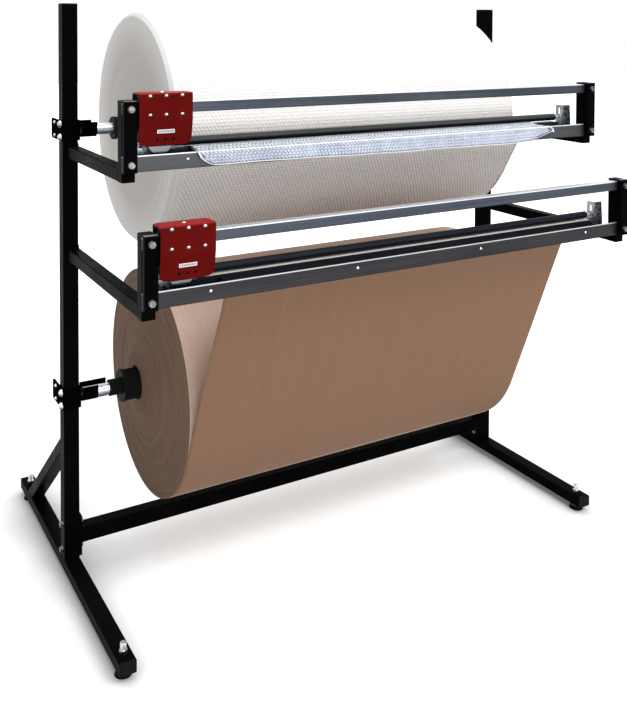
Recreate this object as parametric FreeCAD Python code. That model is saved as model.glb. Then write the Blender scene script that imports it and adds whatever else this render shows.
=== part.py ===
"""Two-tier roll stand with a sliding knife on each tier.

A black tube frame carries two paper or film rolls on steel shafts. In front of each roll
an arm pair holds a cutter unit: a channel that the sheet lies over, a bar that clamps it,
a guide rail, and a carriage with a round knife that runs along the rail.

Frame: +X to the right, -Y to the front, +Z up, origin on the floor under the middle.
All lengths are in millimetres.
"""
import FreeCAD, Part
import math
import os

V = FreeCAD.Vector

# ---------------------------------------------------------------- driving sizes: frame
reel_side_room = 143.0
stand_height = 1495.0
tube_side = 40.0
tube_wall = 2.5
tube_corner_radius = 3.0
foot_tube_height = 30.0
foot_front_length = 440.0
foot_rear_length = 500.0
cross_rail_centre_height = 102.0
cross_rail_flange_height = 104.0
cross_rail_flange_thickness = 6.0
frame_bolt_spacing = 66.0
brace_side = 30.0
brace_foot_distance = 349.0
brace_upright_height = 337.0
cap_flange_thickness = 4.0
cap_plug_length = 15.0
post_plug_length = 8.0
cap_edge_radius = 1.5

# ---------------------------------------------------------------- levelling feet
leveller_front_inset = 30.0
leveller_rear_inset = 40.0
leveller_pad_radius = 20.0
leveller_pad_height = 11.0
leveller_base_gap = 5.0
leveller_stud_radius = 5.0
leveller_stud_rise = 14.0
leveller_nut_across = 17.0
leveller_nut_height = 8.0
leveller_cap_radius = 7.0
leveller_cap_height = 11.0

# ---------------------------------------------------------------- arms and end brackets
arm_side = 30.0
arm_wall = 2.0
arm_corner_radius = 2.5
arm_drop = 22.0
post_rise = 156.0
root_plate_thickness = 4.0
root_plate_margin = 7.0
upper_base_height = 1120.0
lower_base_height = 855.0
upper_reach = 440.0
lower_reach = 565.0
end_bracket_depth = 14.0
end_bracket_wall = 3.0
end_bracket_corner_radius = 2.0

# ---------------------------------------------------------------- channel, rail and strips
channel_height = 36.0
channel_depth = 79.0
channel_wall = 3.0
guide_rail_rise = 126.0
guide_rail_height = 25.0
guide_rail_depth = 25.0
guide_rail_wall = 2.0
knife_strip_inset = 158.0
knife_strip_depth = 38.0
knife_groove_width = 3.0
knife_groove_depth = 5.5
anvil_inset = 58.0
anvil_depth = 32.0
anvil_rise = 4.0
channel_screw_height = 20.0
channel_screw_inset = 122.0
channel_screw_count = 4
channel_screw_radius = 2.0
channel_screw_head_radius = 4.0
channel_screw_head_height = 2.2
screw_block_width = 16.0
screw_block_rise = 8.0

# ---------------------------------------------------------------- clamp bar and its ears
bar_radius = 10.0
bar_wall = 2.0
bar_pin_radius = 4.0
bar_pin_inset = 24.0
bar_inset = 60.0
bar_plug_length = 20.0
bar_washer_radius = 8.0
bar_washer_thickness = 2.0
bar_setback = 62.0
bar_lift = 22.0
ear_inset = 38.0
ear_thickness = 3.0
ear_height = 52.0
ear_top_depth = 24.0
ear_wing_gap = 3.0
ear_wing_insets = (54.0, 7.0)
ear_wing_top_insets = (34.0, 11.0)
ear_slot_margin = 0.5

# ---------------------------------------------------------------- knife carriage
cover_width = 123.0
cover_thickness = 2.0
cover_standoff = 20.0
cover_depth = 50.0
cover_top_rise = 172.0
cover_bend_rise = 114.0
cover_bottom_rise = 57.0
cover_lean = 10.0
cover_corner_radius = 16.0
cover_bend_radius = 3.0
cover_lean_bend_radius = 12.0
cover_top_corner_radius = 12.0
cover_bend_gap = 0.5
carriage_park_gap = 2.0
cover_screw_pitch = 37.0
cover_screw_high_rise = 165.0
cover_screw_low_rise = 124.0
cover_screw_radius = 2.5
cover_screw_head_radius = 4.5
cover_screw_head_height = 2.5
cover_screw_length = 10.0
cover_top_screw_length = 4.0
cover_top_screw_setback = 27.0
cover_hole_pitch = 18.5
cover_hole_radius = 3.5
cover_hole_rise = 70.0
name_plate_length = 40.0
name_plate_height = 8.0
name_plate_thickness = 0.8
name_plate_rise = 88.0
body_side_inset = 1.0
body_floor_rise = 92.0
body_nose_width = 84.0
body_nose_rise = 55.0
roller_radius = 7.0
roller_flange_radius = 9.5
roller_flange_thickness = 2.5
roller_pitch = 80.0
roller_axle_radius = 3.0
knife_radius = 30.0
knife_thickness = 1.0
knife_edge_rise = 32.0
knife_setback = 21.0
knife_hub_radius = 8.0
knife_hub_length = 5.0
knife_axle_radius = 4.0
guard_width = 76.0
guard_bottom_rise = 43.0
guard_top_rise = 84.0
guard_thickness = 1.5

# ---------------------------------------------------------------- rolls, shafts and brackets
shaft_radius = 15.0
shaft_wall = 3.0
shaft_end_gap = 4.0
shaft_setback = -4.0
upper_shaft_height = 1169.0
lower_shaft_height = 480.0
core_inner_radius = 38.1
core_wall = 6.0
kraft_inset = 20.0
kraft_radius = 297.0
kraft_width_inset = 9.0
kraft_core_slip = 1.0
kraft_middle_slip = 20.0
kraft_rim_slip = 32.0
kraft_middle_radius = 150.0
bubble_length = 1074.0
bubble_radius = 305.0
film_row_height = 1.5
film_row_radius = 8.0
film_rows_shown = 24
chuck_flange_radii = {upper_shaft_height: 30.0, lower_shaft_height: 42.0}
chuck_flange_thickness = 8.0
chuck_body_radii = {upper_shaft_height: 27.0, lower_shaft_height: 38.0}
chuck_body_length = 46.0
chuck_stop_radius = 42.0
chuck_stop_thickness = 4.0
chuck_plug_length = 40.0
chuck_plug_taper = 3.0
chuck_rib_count = 12
chuck_rib_radius = 2.0
collar_radius = 21.0
collar_length = 32.0
bracket_plate = 4.0
bracket_height = 52.0
bracket_rear_reach = 56.0
bracket_corner_radius = 8.0
bracket_small_bolt_spacing = 34.0
bracket_small_bolt_inset = 33.0
bracket_small_bolt_radius = 3.0
bracket_small_bolt_head_radius = 5.0
bracket_small_bolt_head_height = 4.0
bracket_big_bolt_spacing = 34.0
bracket_big_bolt_setback = 6.0
bracket_big_bolt_radius = 5.0
bracket_big_bolt_head_radius = 10.0
bracket_big_bolt_head_height = 8.0
bracket_drops = {upper_shaft_height: 1.0, lower_shaft_height: 10.0}
cradle_wall = 4.0
cradle_front_length = 40.0
cradle_rear_lengths = {upper_shaft_height: 34.0, lower_shaft_height: 70.0}
cradle_front_rise = 20.0
cradle_rear_rise = 23.0

# ---------------------------------------------------------------- sheets of paper and film
kraft_web_thickness = 1.2
kraft_edge_setback = 12.0
bubble_web_thickness = 3.0
kerf_width = 3.4
flap_drop = 30.0
web_bend_radius = 8.0
web_lead_gap = 1.0

# ---------------------------------------------------------------- bolts
bolt_radius = 4.0
bolt_across = 13.0
bolt_head_height = 5.5
bolt_flange_radius = 7.6
bolt_flange_height = 1.6
nut_height = 6.5

# ---------------------------------------------------------------- clearances
hole_clearance = 0.25
thread_clearance = 0.05
plug_clearance = 0.2
soft_gap = 0.3
running_clearance = 0.05
guide_clearance = 0.3
slide_clearance = 0.08

# ---------------------------------------------------------------- places worked out
kraft_length = bubble_length - 2 * kraft_inset
kraft_width = bubble_length - 2 * kraft_width_inset
inner_face = bubble_length / 2 + reel_side_room
half_width = inner_face + tube_side
knife_strip_length = 2 * (inner_face - knife_strip_inset)
anvil_length = 2 * (inner_face - anvil_inset)
channel_screw_span = 2 * (inner_face - channel_screw_inset)
bar_end = inner_face - bar_inset
bar_pin_end = inner_face - bar_pin_inset
ear_position = inner_face - ear_inset
foot_bottom = leveller_pad_height + leveller_base_gap
foot_top = foot_bottom + foot_tube_height
upright_top = stand_height - cap_flange_thickness
carriage_left = inner_face - carriage_park_gap
carriage_centre = -(carriage_left - cover_width / 2)

front_reach = lower_reach + channel_wall + cover_standoff + cover_screw_head_height
rear_reach = foot_rear_length + cap_flange_thickness
front_y = (front_reach - rear_reach) / 2
back_y = front_y + tube_side
shaft_y = front_y + shaft_setback


class Unit:
    """The places of one cutter unit, worked out from its base height and its reach."""

    def __init__(self, name, base, reach, web_thickness):
        self.name = name
        self.base = base
        self.web = web_thickness
        self.post_front = front_y - reach
        self.face = self.post_front - channel_wall
        self.arm_low = base - arm_drop
        self.bracket_top = base + post_rise
        self.post_top = self.bracket_top - cap_flange_thickness
        self.channel_top = base + channel_height
        self.channel_back = self.face + channel_depth
        self.rail_low = base + guide_rail_rise
        self.rail_high = self.rail_low + guide_rail_height
        self.rail_back = self.face + guide_rail_depth
        self.anvil_back = self.channel_back - channel_wall
        self.anvil_front = self.anvil_back - anvil_depth
        self.anvil_top = self.channel_top + anvil_rise
        self.bar_y = self.face + bar_setback
        self.bar_z = self.anvil_top + 2 * soft_gap + web_thickness + bar_radius
        self.cover_front = self.face - cover_standoff
        self.cover_back = self.cover_front + cover_depth
        self.cover_top = base + cover_top_rise
        self.knife_y = self.face + knife_setback
        self.knife_z = base + knife_edge_rise + knife_radius
        self.roller_z = self.rail_high + roller_radius + running_clearance
        self.roller_front = self.face - guide_clearance - roller_flange_thickness
        self.roller_back = self.rail_back + guide_clearance + roller_flange_thickness


upper = Unit("upper", upper_base_height, upper_reach, bubble_web_thickness)
lower = Unit("lower", lower_base_height, lower_reach, kraft_web_thickness)


# ---------------------------------------------------------------- basic solids
def box(x0, x1, y0, y1, z0, z1):
    return Part.makeBox(x1 - x0, y1 - y0, z1 - z0, V(x0, y0, z0))


def edges_along(shape, direction):
    return [e for e in shape.Edges if e.tangentAt(e.FirstParameter).cross(direction).Length < 1e-6]


def edges_at(shape, places):
    """The edges along X that pass through the given (y, z) places."""
    found = []
    for e in edges_along(shape, V(1, 0, 0)):
        p = e.Vertexes[0].Point
        if any(math.hypot(p.y - y, p.z - z) < 1e-3 for y, z in places):
            found.append(e)
    return found


def rounded_box(x0, x1, y0, y1, z0, z1, direction, radius):
    """A box whose four edges along direction are rounded."""
    block = box(x0, x1, y0, y1, z0, z1)
    return block.makeFillet(radius, edges_along(block, direction))


def rod_x(x0, x1, y, z, radius):
    return Part.makeCylinder(radius, x1 - x0, V(x0, y, z), V(1, 0, 0))


def rod_y(y0, y1, x, z, radius):
    return Part.makeCylinder(radius, y1 - y0, V(x, y0, z), V(0, 1, 0))


def rod_z(z0, z1, x, y, radius):
    return Part.makeCylinder(radius, z1 - z0, V(x, y, z0), V(0, 0, 1))


def hexagon(across, height, base, axis):
    """A hexagonal prism whose first face is centred on base and which runs along axis."""
    corner = across / math.sqrt(3)
    points = []
    for i in range(7):
        angle = math.radians(60 * i)
        points.append(V(corner * math.cos(angle), corner * math.sin(angle), 0))
    prism = Part.Face(Part.makePolygon(points)).extrude(V(0, 0, height))
    prism.Placement = FreeCAD.Placement(base, FreeCAD.Rotation(V(0, 0, 1), axis))
    return prism


def profile_x(points, x0, x1):
    """A closed outline of (y, z) points, extruded along X."""
    corners = [V(x0, y, z) for y, z in points]
    face = Part.Face(Part.makePolygon(corners + corners[:1]))
    return face.extrude(V(x1 - x0, 0, 0))


def mirrored(shape):
    return shape.mirror(V(0, 0, 0), V(1, 0, 0))


def group(shapes):
    """Separate solids that share one node."""
    return Part.makeCompound(shapes)


def joined(first, others):
    return first.fuse(others).removeSplitter()


def flange_bolt(base, axis, grip, radius=bolt_radius, across=bolt_across, head=bolt_head_height,
                flange=bolt_flange_radius, flange_height=bolt_flange_height):
    """A bolt whose head stands on the face at base and whose shank runs along axis."""
    shank = Part.makeCylinder(radius, grip, base, axis)
    washer = Part.makeCylinder(flange, flange_height, base, axis * -1)
    cap = hexagon(across, head, base - axis * flange_height, axis * -1)
    return joined(washer, [shank, cap])


def nut(base, axis, height=nut_height, across=bolt_across, radius=bolt_radius):
    blank = hexagon(across, height, base, axis)
    return blank.cut(Part.makeCylinder(radius + thread_clearance, height, base, axis))


def dome_screw(base, axis, length, radius, head_radius, head_height):
    """A round-headed screw: a shallow dome on the face at base, and a shank along axis."""
    sphere_radius = (head_radius ** 2 + head_height ** 2) / (2 * head_height)
    half_angle = math.asin(head_radius / sphere_radius) / 2
    crown = V(sphere_radius * math.sin(half_angle), 0,
              head_height - sphere_radius * (1 - math.cos(half_angle)))
    rim, top = V(head_radius, 0, 0), V(0, 0, head_height)
    edges = [Part.Arc(rim, crown, top).toShape(),
             Part.makePolygon([top, V(0, 0, -length), V(radius, 0, -length), V(radius, 0, 0),
                               rim])]
    screw = Part.Face(Part.Wire(edges[:1] + edges[1].Edges)).revolve(V(0, 0, 0), V(0, 0, 1), 360)
    screw.Placement = FreeCAD.Placement(base, FreeCAD.Rotation(V(0, 0, 1), axis * -1))
    return screw


# ---------------------------------------------------------------- frame
def upright():
    """The left upright, with the cross-rail bolt holes through both side walls."""
    outside = rounded_box(-half_width, -inner_face, front_y, back_y, foot_top, upright_top,
                          V(0, 0, 1), tube_corner_radius)
    inside = box(-half_width + tube_wall, -inner_face - tube_wall, front_y + tube_wall,
                 back_y - tube_wall, foot_top, upright_top)
    tube = outside.cut(inside)
    for z in frame_bolt_heights():
        tube = tube.cut(rod_x(-half_width, -inner_face, front_y + tube_side / 2, z,
                              bolt_radius + hole_clearance))
    return tube


def frame_bolt_heights():
    half = frame_bolt_spacing / 2
    return [cross_rail_centre_height - half, cross_rail_centre_height + half]


def foot_ends():
    return front_y - foot_front_length, front_y + foot_rear_length


def leveller_places():
    front_end, rear_end = foot_ends()
    return front_end + leveller_front_inset, rear_end - leveller_rear_inset


def foot():
    """The left foot: a flat tube from front to back with a hole near each end."""
    y0, y1 = foot_ends()
    x0, x1 = -half_width, -inner_face
    tube = rounded_box(x0, x1, y0, y1, foot_bottom, foot_top, V(0, 1, 0), tube_corner_radius)
    tube = tube.cut(box(x0 + tube_wall, x1 - tube_wall, y0, y1, foot_bottom + tube_wall,
                        foot_top - tube_wall))
    for y in leveller_places():
        tube = tube.cut(rod_z(foot_bottom, foot_top, (x0 + x1) / 2, y,
                              leveller_stud_radius + running_clearance))
    return tube


def brace():
    """The left rear brace: a square tube cut to lie on the foot and against the upright."""
    low = V(0, back_y + brace_foot_distance, foot_top)
    high = V(0, back_y, brace_upright_height)
    slope = (high - low).normalize()
    side = V(0, -slope.z, slope.y)
    reach = tube_side

    def bar(half_side):
        ends = [low - slope * reach, high + slope * reach]
        return [ends[0] + side * half_side, ends[1] + side * half_side,
                ends[1] - side * half_side, ends[0] - side * half_side]

    x0, x1 = -half_width, -inner_face
    outer = profile_x([(p.y, p.z) for p in bar(brace_side / 2)], x0, x1)
    outer = outer.makeFillet(tube_corner_radius, edges_along(outer, slope))
    inner = profile_x([(p.y, p.z) for p in bar(brace_side / 2 - tube_wall)],
                      x0 + tube_wall, x1 - tube_wall)
    clear = box(x0, x1, back_y, back_y + foot_rear_length, foot_top, stand_height)
    return outer.cut(inner).common(clear)


def cross_rail():
    """The bottom rail with a bolted flange welded on each end."""
    half_side = tube_side / 2
    z0 = cross_rail_centre_height - half_side
    z1 = cross_rail_centre_height + half_side
    end = inner_face - cross_rail_flange_thickness
    tube = rounded_box(-end, end, front_y, back_y, z0, z1, V(1, 0, 0), tube_corner_radius)
    tube = tube.cut(box(-end, end, front_y + tube_wall, back_y - tube_wall, z0 + tube_wall,
                        z1 - tube_wall))
    low = cross_rail_centre_height - cross_rail_flange_height / 2
    high = cross_rail_centre_height + cross_rail_flange_height / 2
    flange = box(-inner_face, -end, front_y, back_y, max(low, foot_top), high)
    for z in frame_bolt_heights():
        flange = flange.cut(rod_x(-inner_face, -end, front_y + half_side, z,
                                  bolt_radius + hole_clearance))
    return joined(tube, [flange, mirrored(flange)])


def frame_bolts():
    """Bolts through the uprights and the cross-rail flanges, with their nuts."""
    solids = []
    grip = tube_side + cross_rail_flange_thickness
    for z in frame_bolt_heights():
        head = V(-half_width, front_y + tube_side / 2, z)
        end = V(-half_width + grip, front_y + tube_side / 2, z)
        bolt = flange_bolt(head, V(1, 0, 0), grip + nut_height)
        fixing = nut(end, V(1, 0, 0))
        solids += [bolt, fixing, mirrored(bolt), mirrored(fixing)]
    return group(solids)


def tube_cap(x0, x1, y0, y1, wall, corner_radius, plug_length, place, outward):
    """A moulded plug for a tube end: a flange on the end face and a hollow plug inside.

    x0, x1, y0 and y1 are the tube's outline seen along its own axis.
    """
    inset = wall + plug_clearance
    flange = rounded_box(x0, x1, y0, y1, 0, cap_flange_thickness, V(0, 0, 1), corner_radius)
    flange = flange.makeFillet(cap_edge_radius, flange.Faces[face_above(flange)].Edges)
    plug = box(x0 + inset, x1 - inset, y0 + inset, y1 - inset, -plug_length, 0)
    hollow = box(x0 + 2 * inset, x1 - 2 * inset, y0 + 2 * inset, y1 - 2 * inset,
                 -plug_length, 0)
    cap = joined(flange, [plug.cut(hollow)])
    cap.Placement = FreeCAD.Placement(place, FreeCAD.Rotation(V(0, 0, 1), outward))
    return cap


def face_above(shape):
    """The index of the shape's highest flat face."""
    heights = [face.CenterOfMass.z for face in shape.Faces]
    return heights.index(max(heights))


def tube_end_caps():
    """Caps on both uprights, the four foot ends and the four arm posts."""
    half_side = tube_side / 2
    half_foot = foot_tube_height / 2
    half_arm = arm_side / 2
    middle = half_width - half_side
    caps = [tube_cap(-half_side, half_side, -half_side, half_side, tube_wall,
                     tube_corner_radius, cap_plug_length, V(-middle, front_y + half_side, upright_top),
                     V(0, 0, 1))]
    for y, outward in zip(foot_ends(), (V(0, -1, 0), V(0, 1, 0))):
        caps.append(tube_cap(-half_side, half_side, -half_foot, half_foot, tube_wall,
                             tube_corner_radius, cap_plug_length,
                             V(-middle, y, foot_bottom + half_foot), outward))
    for unit in (upper, lower):
        place = V(-inner_face - half_arm, unit.post_front + half_arm, unit.post_top)
        caps.append(tube_cap(-half_arm, half_arm, -half_arm, half_arm, arm_wall,
                             arm_corner_radius, post_plug_length, place, V(0, 0, 1)))
    return group(caps + [mirrored(cap) for cap in caps])


# ---------------------------------------------------------------- levelling feet
def leveller(y):
    """The left levelling foot at y: a pad and its screw, moulded together as one piece."""
    x = -half_width + tube_side / 2
    pad = Part.makeCone(leveller_pad_radius, leveller_pad_radius * 0.8, leveller_pad_height,
                        V(x, y, 0))
    stud = rod_z(leveller_pad_height, foot_top + leveller_stud_rise + leveller_cap_height, x, y,
                 leveller_stud_radius)
    cap = Part.makeCylinder(leveller_cap_radius, leveller_cap_height,
                            V(x, y, foot_top + leveller_stud_rise))
    cap = cap.makeFillet(leveller_cap_radius / 3, [cap.Edges[0]])
    return joined(pad, [stud, cap])


def leveller_nuts():
    """The lock nut of each levelling foot, tightened against the top of the foot tube."""
    x = -half_width + tube_side / 2
    nuts = []
    for y in leveller_places():
        nuts.append(nut(V(x, y, foot_top), V(0, 0, 1), leveller_nut_height,
                        leveller_nut_across, leveller_stud_radius))
    return group(nuts + [mirrored(part) for part in nuts])


# ---------------------------------------------------------------- arms
def arm(unit):
    """The left arm of a unit: root plate, horizontal tube and front post, welded."""
    x0, x1 = -inner_face - arm_side, -inner_face
    low, high = unit.arm_low, unit.arm_low + arm_side
    post_back = unit.post_front + arm_side
    root = box(x0, x1, front_y - root_plate_thickness, front_y, low - root_plate_margin,
               high + root_plate_margin)
    tube = rounded_box(x0, x1, post_back, front_y - root_plate_thickness, low, high,
                       V(0, 1, 0), arm_corner_radius)
    tube = tube.cut(box(x0 + arm_wall, x1 - arm_wall, post_back,
                        front_y - root_plate_thickness, low + arm_wall, high - arm_wall))
    post = rounded_box(x0, x1, unit.post_front, post_back, low, unit.post_top, V(0, 0, 1),
                       arm_corner_radius)
    post = post.cut(box(x0 + arm_wall, x1 - arm_wall, unit.post_front + arm_wall,
                        post_back - arm_wall, low + arm_wall, unit.post_top))
    for z in end_bolt_heights(unit):
        post = post.cut(rod_y(unit.post_front, post_back, (x0 + x1) / 2, z,
                              bolt_radius + hole_clearance))
    return joined(post, [root, tube])


def end_bolt_heights(unit):
    return [unit.base + channel_height / 2, unit.rail_low + guide_rail_height / 2]


def end_bracket(unit):
    """The left end bracket: a pressed cover, open at the back, bolted over the rail ends."""
    x0, x1 = -inner_face - arm_side, -inner_face
    y0, y1 = unit.face - end_bracket_depth, unit.face
    shell = box(x0, x1, y0, y1, unit.base, unit.bracket_top)
    front = min(shell.Faces, key=lambda face: face.CenterOfMass.y)
    shell = shell.makeFillet(end_bracket_corner_radius, front.Edges)
    hollow = box(x0 + end_bracket_wall, x1 - end_bracket_wall, y0 + end_bracket_wall, y1,
                 unit.base + end_bracket_wall, unit.bracket_top - end_bracket_wall)
    shell = shell.cut(hollow)
    for z in end_bolt_heights(unit):
        shell = shell.cut(rod_y(y0, y1, (x0 + x1) / 2, z, bolt_radius + hole_clearance))
    return shell


def end_brackets():
    parts = [end_bracket(unit) for unit in (upper, lower)]
    return group(parts + [mirrored(part) for part in parts])


def end_bolts():
    """Bolts through end bracket, rail tongue and post, with nuts behind the post."""
    solids = []
    x = -inner_face - arm_side / 2
    for unit in (upper, lower):
        start = unit.face - end_bracket_depth
        grip = unit.post_front + arm_side - start
        for z in end_bolt_heights(unit):
            solids.append(flange_bolt(V(x, start, z), V(0, 1, 0), grip + nut_height))
            solids.append(nut(V(x, start + grip, z), V(0, 1, 0)))
    return group(solids + [mirrored(part) for part in solids])


# ---------------------------------------------------------------- channel, rail and strips
def tongue(unit, z0, z1, thickness):
    """The left tongue of a rail: its front wall carried on across the post."""
    x0, x1 = -inner_face - arm_side, -inner_face
    plate = box(x0, x1, unit.face, unit.face + thickness, z0, z1)
    hole = rod_y(unit.face, unit.face + thickness, (x0 + x1) / 2, (z0 + z1) / 2,
                 bolt_radius + hole_clearance)
    return plate.cut(hole)


def screw_places():
    step = channel_screw_span / (channel_screw_count - 1)
    return [-channel_screw_span / 2 + i * step for i in range(channel_screw_count)]


def channel(unit):
    """The U-shaped channel between the posts, with a tongue over each post."""
    outside = box(-inner_face, inner_face, unit.face, unit.channel_back, unit.base,
                  unit.channel_top)
    inside = box(-inner_face, inner_face, unit.face + channel_wall,
                 unit.channel_back - channel_wall, unit.base + channel_wall, unit.channel_top)
    end = tongue(unit, unit.base, unit.channel_top, channel_wall)
    solid = joined(outside.cut(inside), [end, mirrored(end)])
    for x in screw_places():
        solid = solid.cut(rod_y(unit.face, unit.face + channel_wall, x,
                                unit.base + channel_screw_height,
                                channel_screw_radius + hole_clearance))
    return solid


def guide_rail(unit):
    """The box rail that the knife carriage runs on, with a tongue over each post."""
    outside = box(-inner_face, inner_face, unit.face, unit.rail_back, unit.rail_low,
                  unit.rail_high)
    inside = box(-inner_face, inner_face, unit.face + channel_wall,
                 unit.rail_back - guide_rail_wall, unit.rail_low + guide_rail_wall,
                 unit.rail_high - guide_rail_wall)
    end = tongue(unit, unit.rail_low, unit.rail_high, channel_wall)
    return joined(outside.cut(inside), [end, mirrored(end)])


def knife_strip(unit):
    """The rubber strip inside the channel's lip, with the groove that the knife runs in."""
    half = knife_strip_length / 2
    y0 = unit.face + channel_wall
    strip = box(-half, half, y0, y0 + knife_strip_depth, unit.base + channel_wall,
                unit.channel_top)
    half_groove = knife_groove_width / 2
    groove = box(-half, half, unit.knife_y - half_groove, unit.knife_y + half_groove,
                 unit.channel_top - knife_groove_depth, unit.channel_top)
    strip = strip.cut(groove)
    hole_depth = strip_screw_length()
    for x in screw_places():
        if abs(x) < half:
            strip = strip.cut(rod_y(y0, y0 + hole_depth, x, unit.base + channel_screw_height,
                                    channel_screw_radius + thread_clearance))
    return strip


def strip_screw_length():
    return knife_strip_depth / 2


def screw_block(unit, x):
    """A nylon block on the channel floor that backs a channel screw beyond the strip's ends."""
    y0 = unit.face + channel_wall
    half = screw_block_width / 2
    block = box(x - half, x + half, y0, y0 + strip_screw_length() + channel_wall,
                unit.base + channel_wall, unit.base + channel_screw_height + screw_block_rise)
    hole = rod_y(y0, y0 + strip_screw_length(), x, unit.base + channel_screw_height,
                 channel_screw_radius + thread_clearance)
    return block.cut(hole)


def channel_screws():
    solids = []
    length = channel_wall + strip_screw_length()
    for unit in (upper, lower):
        for x in screw_places():
            base = V(x, unit.face, unit.base + channel_screw_height)
            solids.append(dome_screw(base, V(0, 1, 0), length, channel_screw_radius,
                                     channel_screw_head_radius, channel_screw_head_height))
    return group(solids)


def knife_strips():
    solids = []
    for unit in (upper, lower):
        solids.append(knife_strip(unit))
        for x in screw_places():
            if abs(x) > knife_strip_length / 2:
                solids.append(screw_block(unit, x))
    return group(solids)


def anvil_strips():
    """The nylon strips under the clamp bars, standing on the channel floor."""
    half = anvil_length / 2
    solids = []
    for unit in (upper, lower):
        solids.append(box(-half, half, unit.anvil_front, unit.anvil_back,
                          unit.base + channel_wall, unit.anvil_top))
    return group(solids)


# ---------------------------------------------------------------- clamp bar
def ear(unit):
    """The left ear: a slotted leg for the bar's pin, a wing in front of the bar and a base."""
    x0, x1 = -ear_position - ear_thickness, -ear_position
    floor = unit.base + channel_wall
    top = unit.channel_top + ear_height
    back = unit.anvil_back
    front = unit.bar_y - bar_radius - ear_wing_gap - ear_thickness
    leg = profile_x([(front, floor), (back, floor), (back, unit.channel_top),
                     (unit.bar_y + ear_top_depth / 2, top), (front, top)], x0, x1)
    slot_half = bar_pin_radius + slide_clearance
    slot = box(x0, x1, unit.bar_y - slot_half, unit.bar_y + slot_half,
               unit.bar_z, unit.bar_z + bar_lift + ear_slot_margin)
    slot = joined(slot, [rod_x(x0, x1, unit.bar_y, unit.bar_z, slot_half),
                         rod_x(x0, x1, unit.bar_y, unit.bar_z + bar_lift + ear_slot_margin,
                               slot_half)])
    low_in, low_out = [inset - inner_face for inset in ear_wing_insets]
    top_in, top_out = [inset - inner_face for inset in ear_wing_top_insets]
    corners = [V(low_in, front, floor), V(low_out, front, floor),
               V(low_out, front, unit.channel_top), V(top_out, front, top),
               V(top_in, front, top), V(low_in, front, unit.channel_top)]
    wing = Part.Face(Part.makePolygon(corners + corners[:1])).extrude(V(0, ear_thickness, 0))
    base = box(low_out, x0, front, back, floor, floor + ear_thickness)
    return joined(leg.cut(slot), [wing, base])


def bar_ears():
    parts = [ear(unit) for unit in (upper, lower)]
    return group(parts + [mirrored(part) for part in parts])


def clamp_bar(unit):
    """The round clamp bar: a plugged tube with a pin and a washer at each end."""
    tube = rod_x(-bar_end, bar_end, unit.bar_y, unit.bar_z, bar_radius)
    bore = rod_x(-bar_end + bar_plug_length, bar_end - bar_plug_length, unit.bar_y, unit.bar_z,
                 bar_radius - bar_wall)
    washer_start = ear_position + ear_thickness + running_clearance
    washer = rod_x(washer_start, washer_start + bar_washer_thickness, unit.bar_y, unit.bar_z,
                   bar_washer_radius)
    pin = rod_x(bar_end, bar_pin_end, unit.bar_y, unit.bar_z, bar_pin_radius)
    return joined(tube.cut(bore), [pin, mirrored(pin), washer, mirrored(washer)])


# ---------------------------------------------------------------- knife carriage
def cover_slope(unit, rise):
    """How far back the cover's leaning lower front lies at a given rise."""
    share = (cover_bend_rise - rise) / (cover_bend_rise - cover_bottom_rise)
    return unit.cover_front + cover_lean * share


def cover_profile(unit, depth):
    """The cover's outline in Y and Z, taken in by depth on its outer side."""
    bottom = cover_bottom_rise
    return [(cover_slope(unit, bottom) + depth, unit.base + bottom),
            (unit.cover_front + depth, unit.base + cover_bend_rise),
            (unit.cover_front + depth, unit.cover_top - depth),
            (unit.cover_back, unit.cover_top - depth)]


def carriage_cover(unit):
    """The folded cover: top, front and a lower front that leans back, corners rounded."""
    x0 = carriage_centre - cover_width / 2
    x1 = carriage_centre + cover_width / 2
    outline = cover_profile(unit, 0) + cover_profile(unit, cover_thickness)[::-1]
    sheet = profile_x(outline, x0, x1)
    inner = cover_profile(unit, cover_thickness)
    outer = cover_profile(unit, 0)
    for corner, radius in ((1, cover_lean_bend_radius), (2, cover_bend_radius)):
        sheet = sheet.makeFillet(radius, edges_at(sheet, [inner[corner]]))
        sheet = sheet.makeFillet(radius + cover_thickness, edges_at(sheet, [outer[corner]]))
    for x in (x0, x1):
        upright_edges = [e for e in edges_along(sheet, V(0, 0, 1))
                         if abs(e.CenterOfMass.x - x) < 1e-3
                         and abs(e.CenterOfMass.y - unit.cover_back) < 1e-3]
        sheet = sheet.makeFillet(cover_top_corner_radius, upright_edges)
    low = unit.base + cover_bottom_rise
    radius = cover_corner_radius
    y0, y1 = unit.cover_front, unit.cover_back
    for side, corner in ((1, x0), (-1, x1)):
        block_x = sorted((corner, corner + side * radius))
        waste = box(block_x[0], block_x[1], y0, y1, low, low + radius)
        waste = waste.cut(rod_y(y0, y1, corner + side * radius, low + radius, radius))
        sheet = sheet.cut(waste)
    for i in (-1, 0, 1):
        sheet = sheet.cut(rod_y(y0, y1, carriage_centre + i * cover_hole_pitch,
                                unit.base + cover_hole_rise, cover_hole_radius))
        for rise in (cover_screw_high_rise, cover_screw_low_rise):
            sheet = sheet.cut(rod_y(y0, y1, carriage_centre + i * cover_screw_pitch,
                                    unit.base + rise, cover_screw_radius + hole_clearance))
    return sheet.cut(rod_z(unit.cover_top - cover_thickness, unit.cover_top, carriage_centre,
                           top_screw_y(unit), cover_screw_radius + hole_clearance))


def top_screw_y(unit):
    return unit.cover_front + cover_top_screw_setback


def name_plate(unit):
    """A bare plate on the leaning part of the cover."""
    half = name_plate_height / 2
    half_length = name_plate_length / 2
    low, high = name_plate_rise - half, name_plate_rise + half
    points = [(cover_slope(unit, low), unit.base + low),
              (cover_slope(unit, high), unit.base + high),
              (cover_slope(unit, high) - name_plate_thickness, unit.base + high),
              (cover_slope(unit, low) - name_plate_thickness, unit.base + low)]
    return profile_x(points, carriage_centre - half_length, carriage_centre + half_length)


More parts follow.
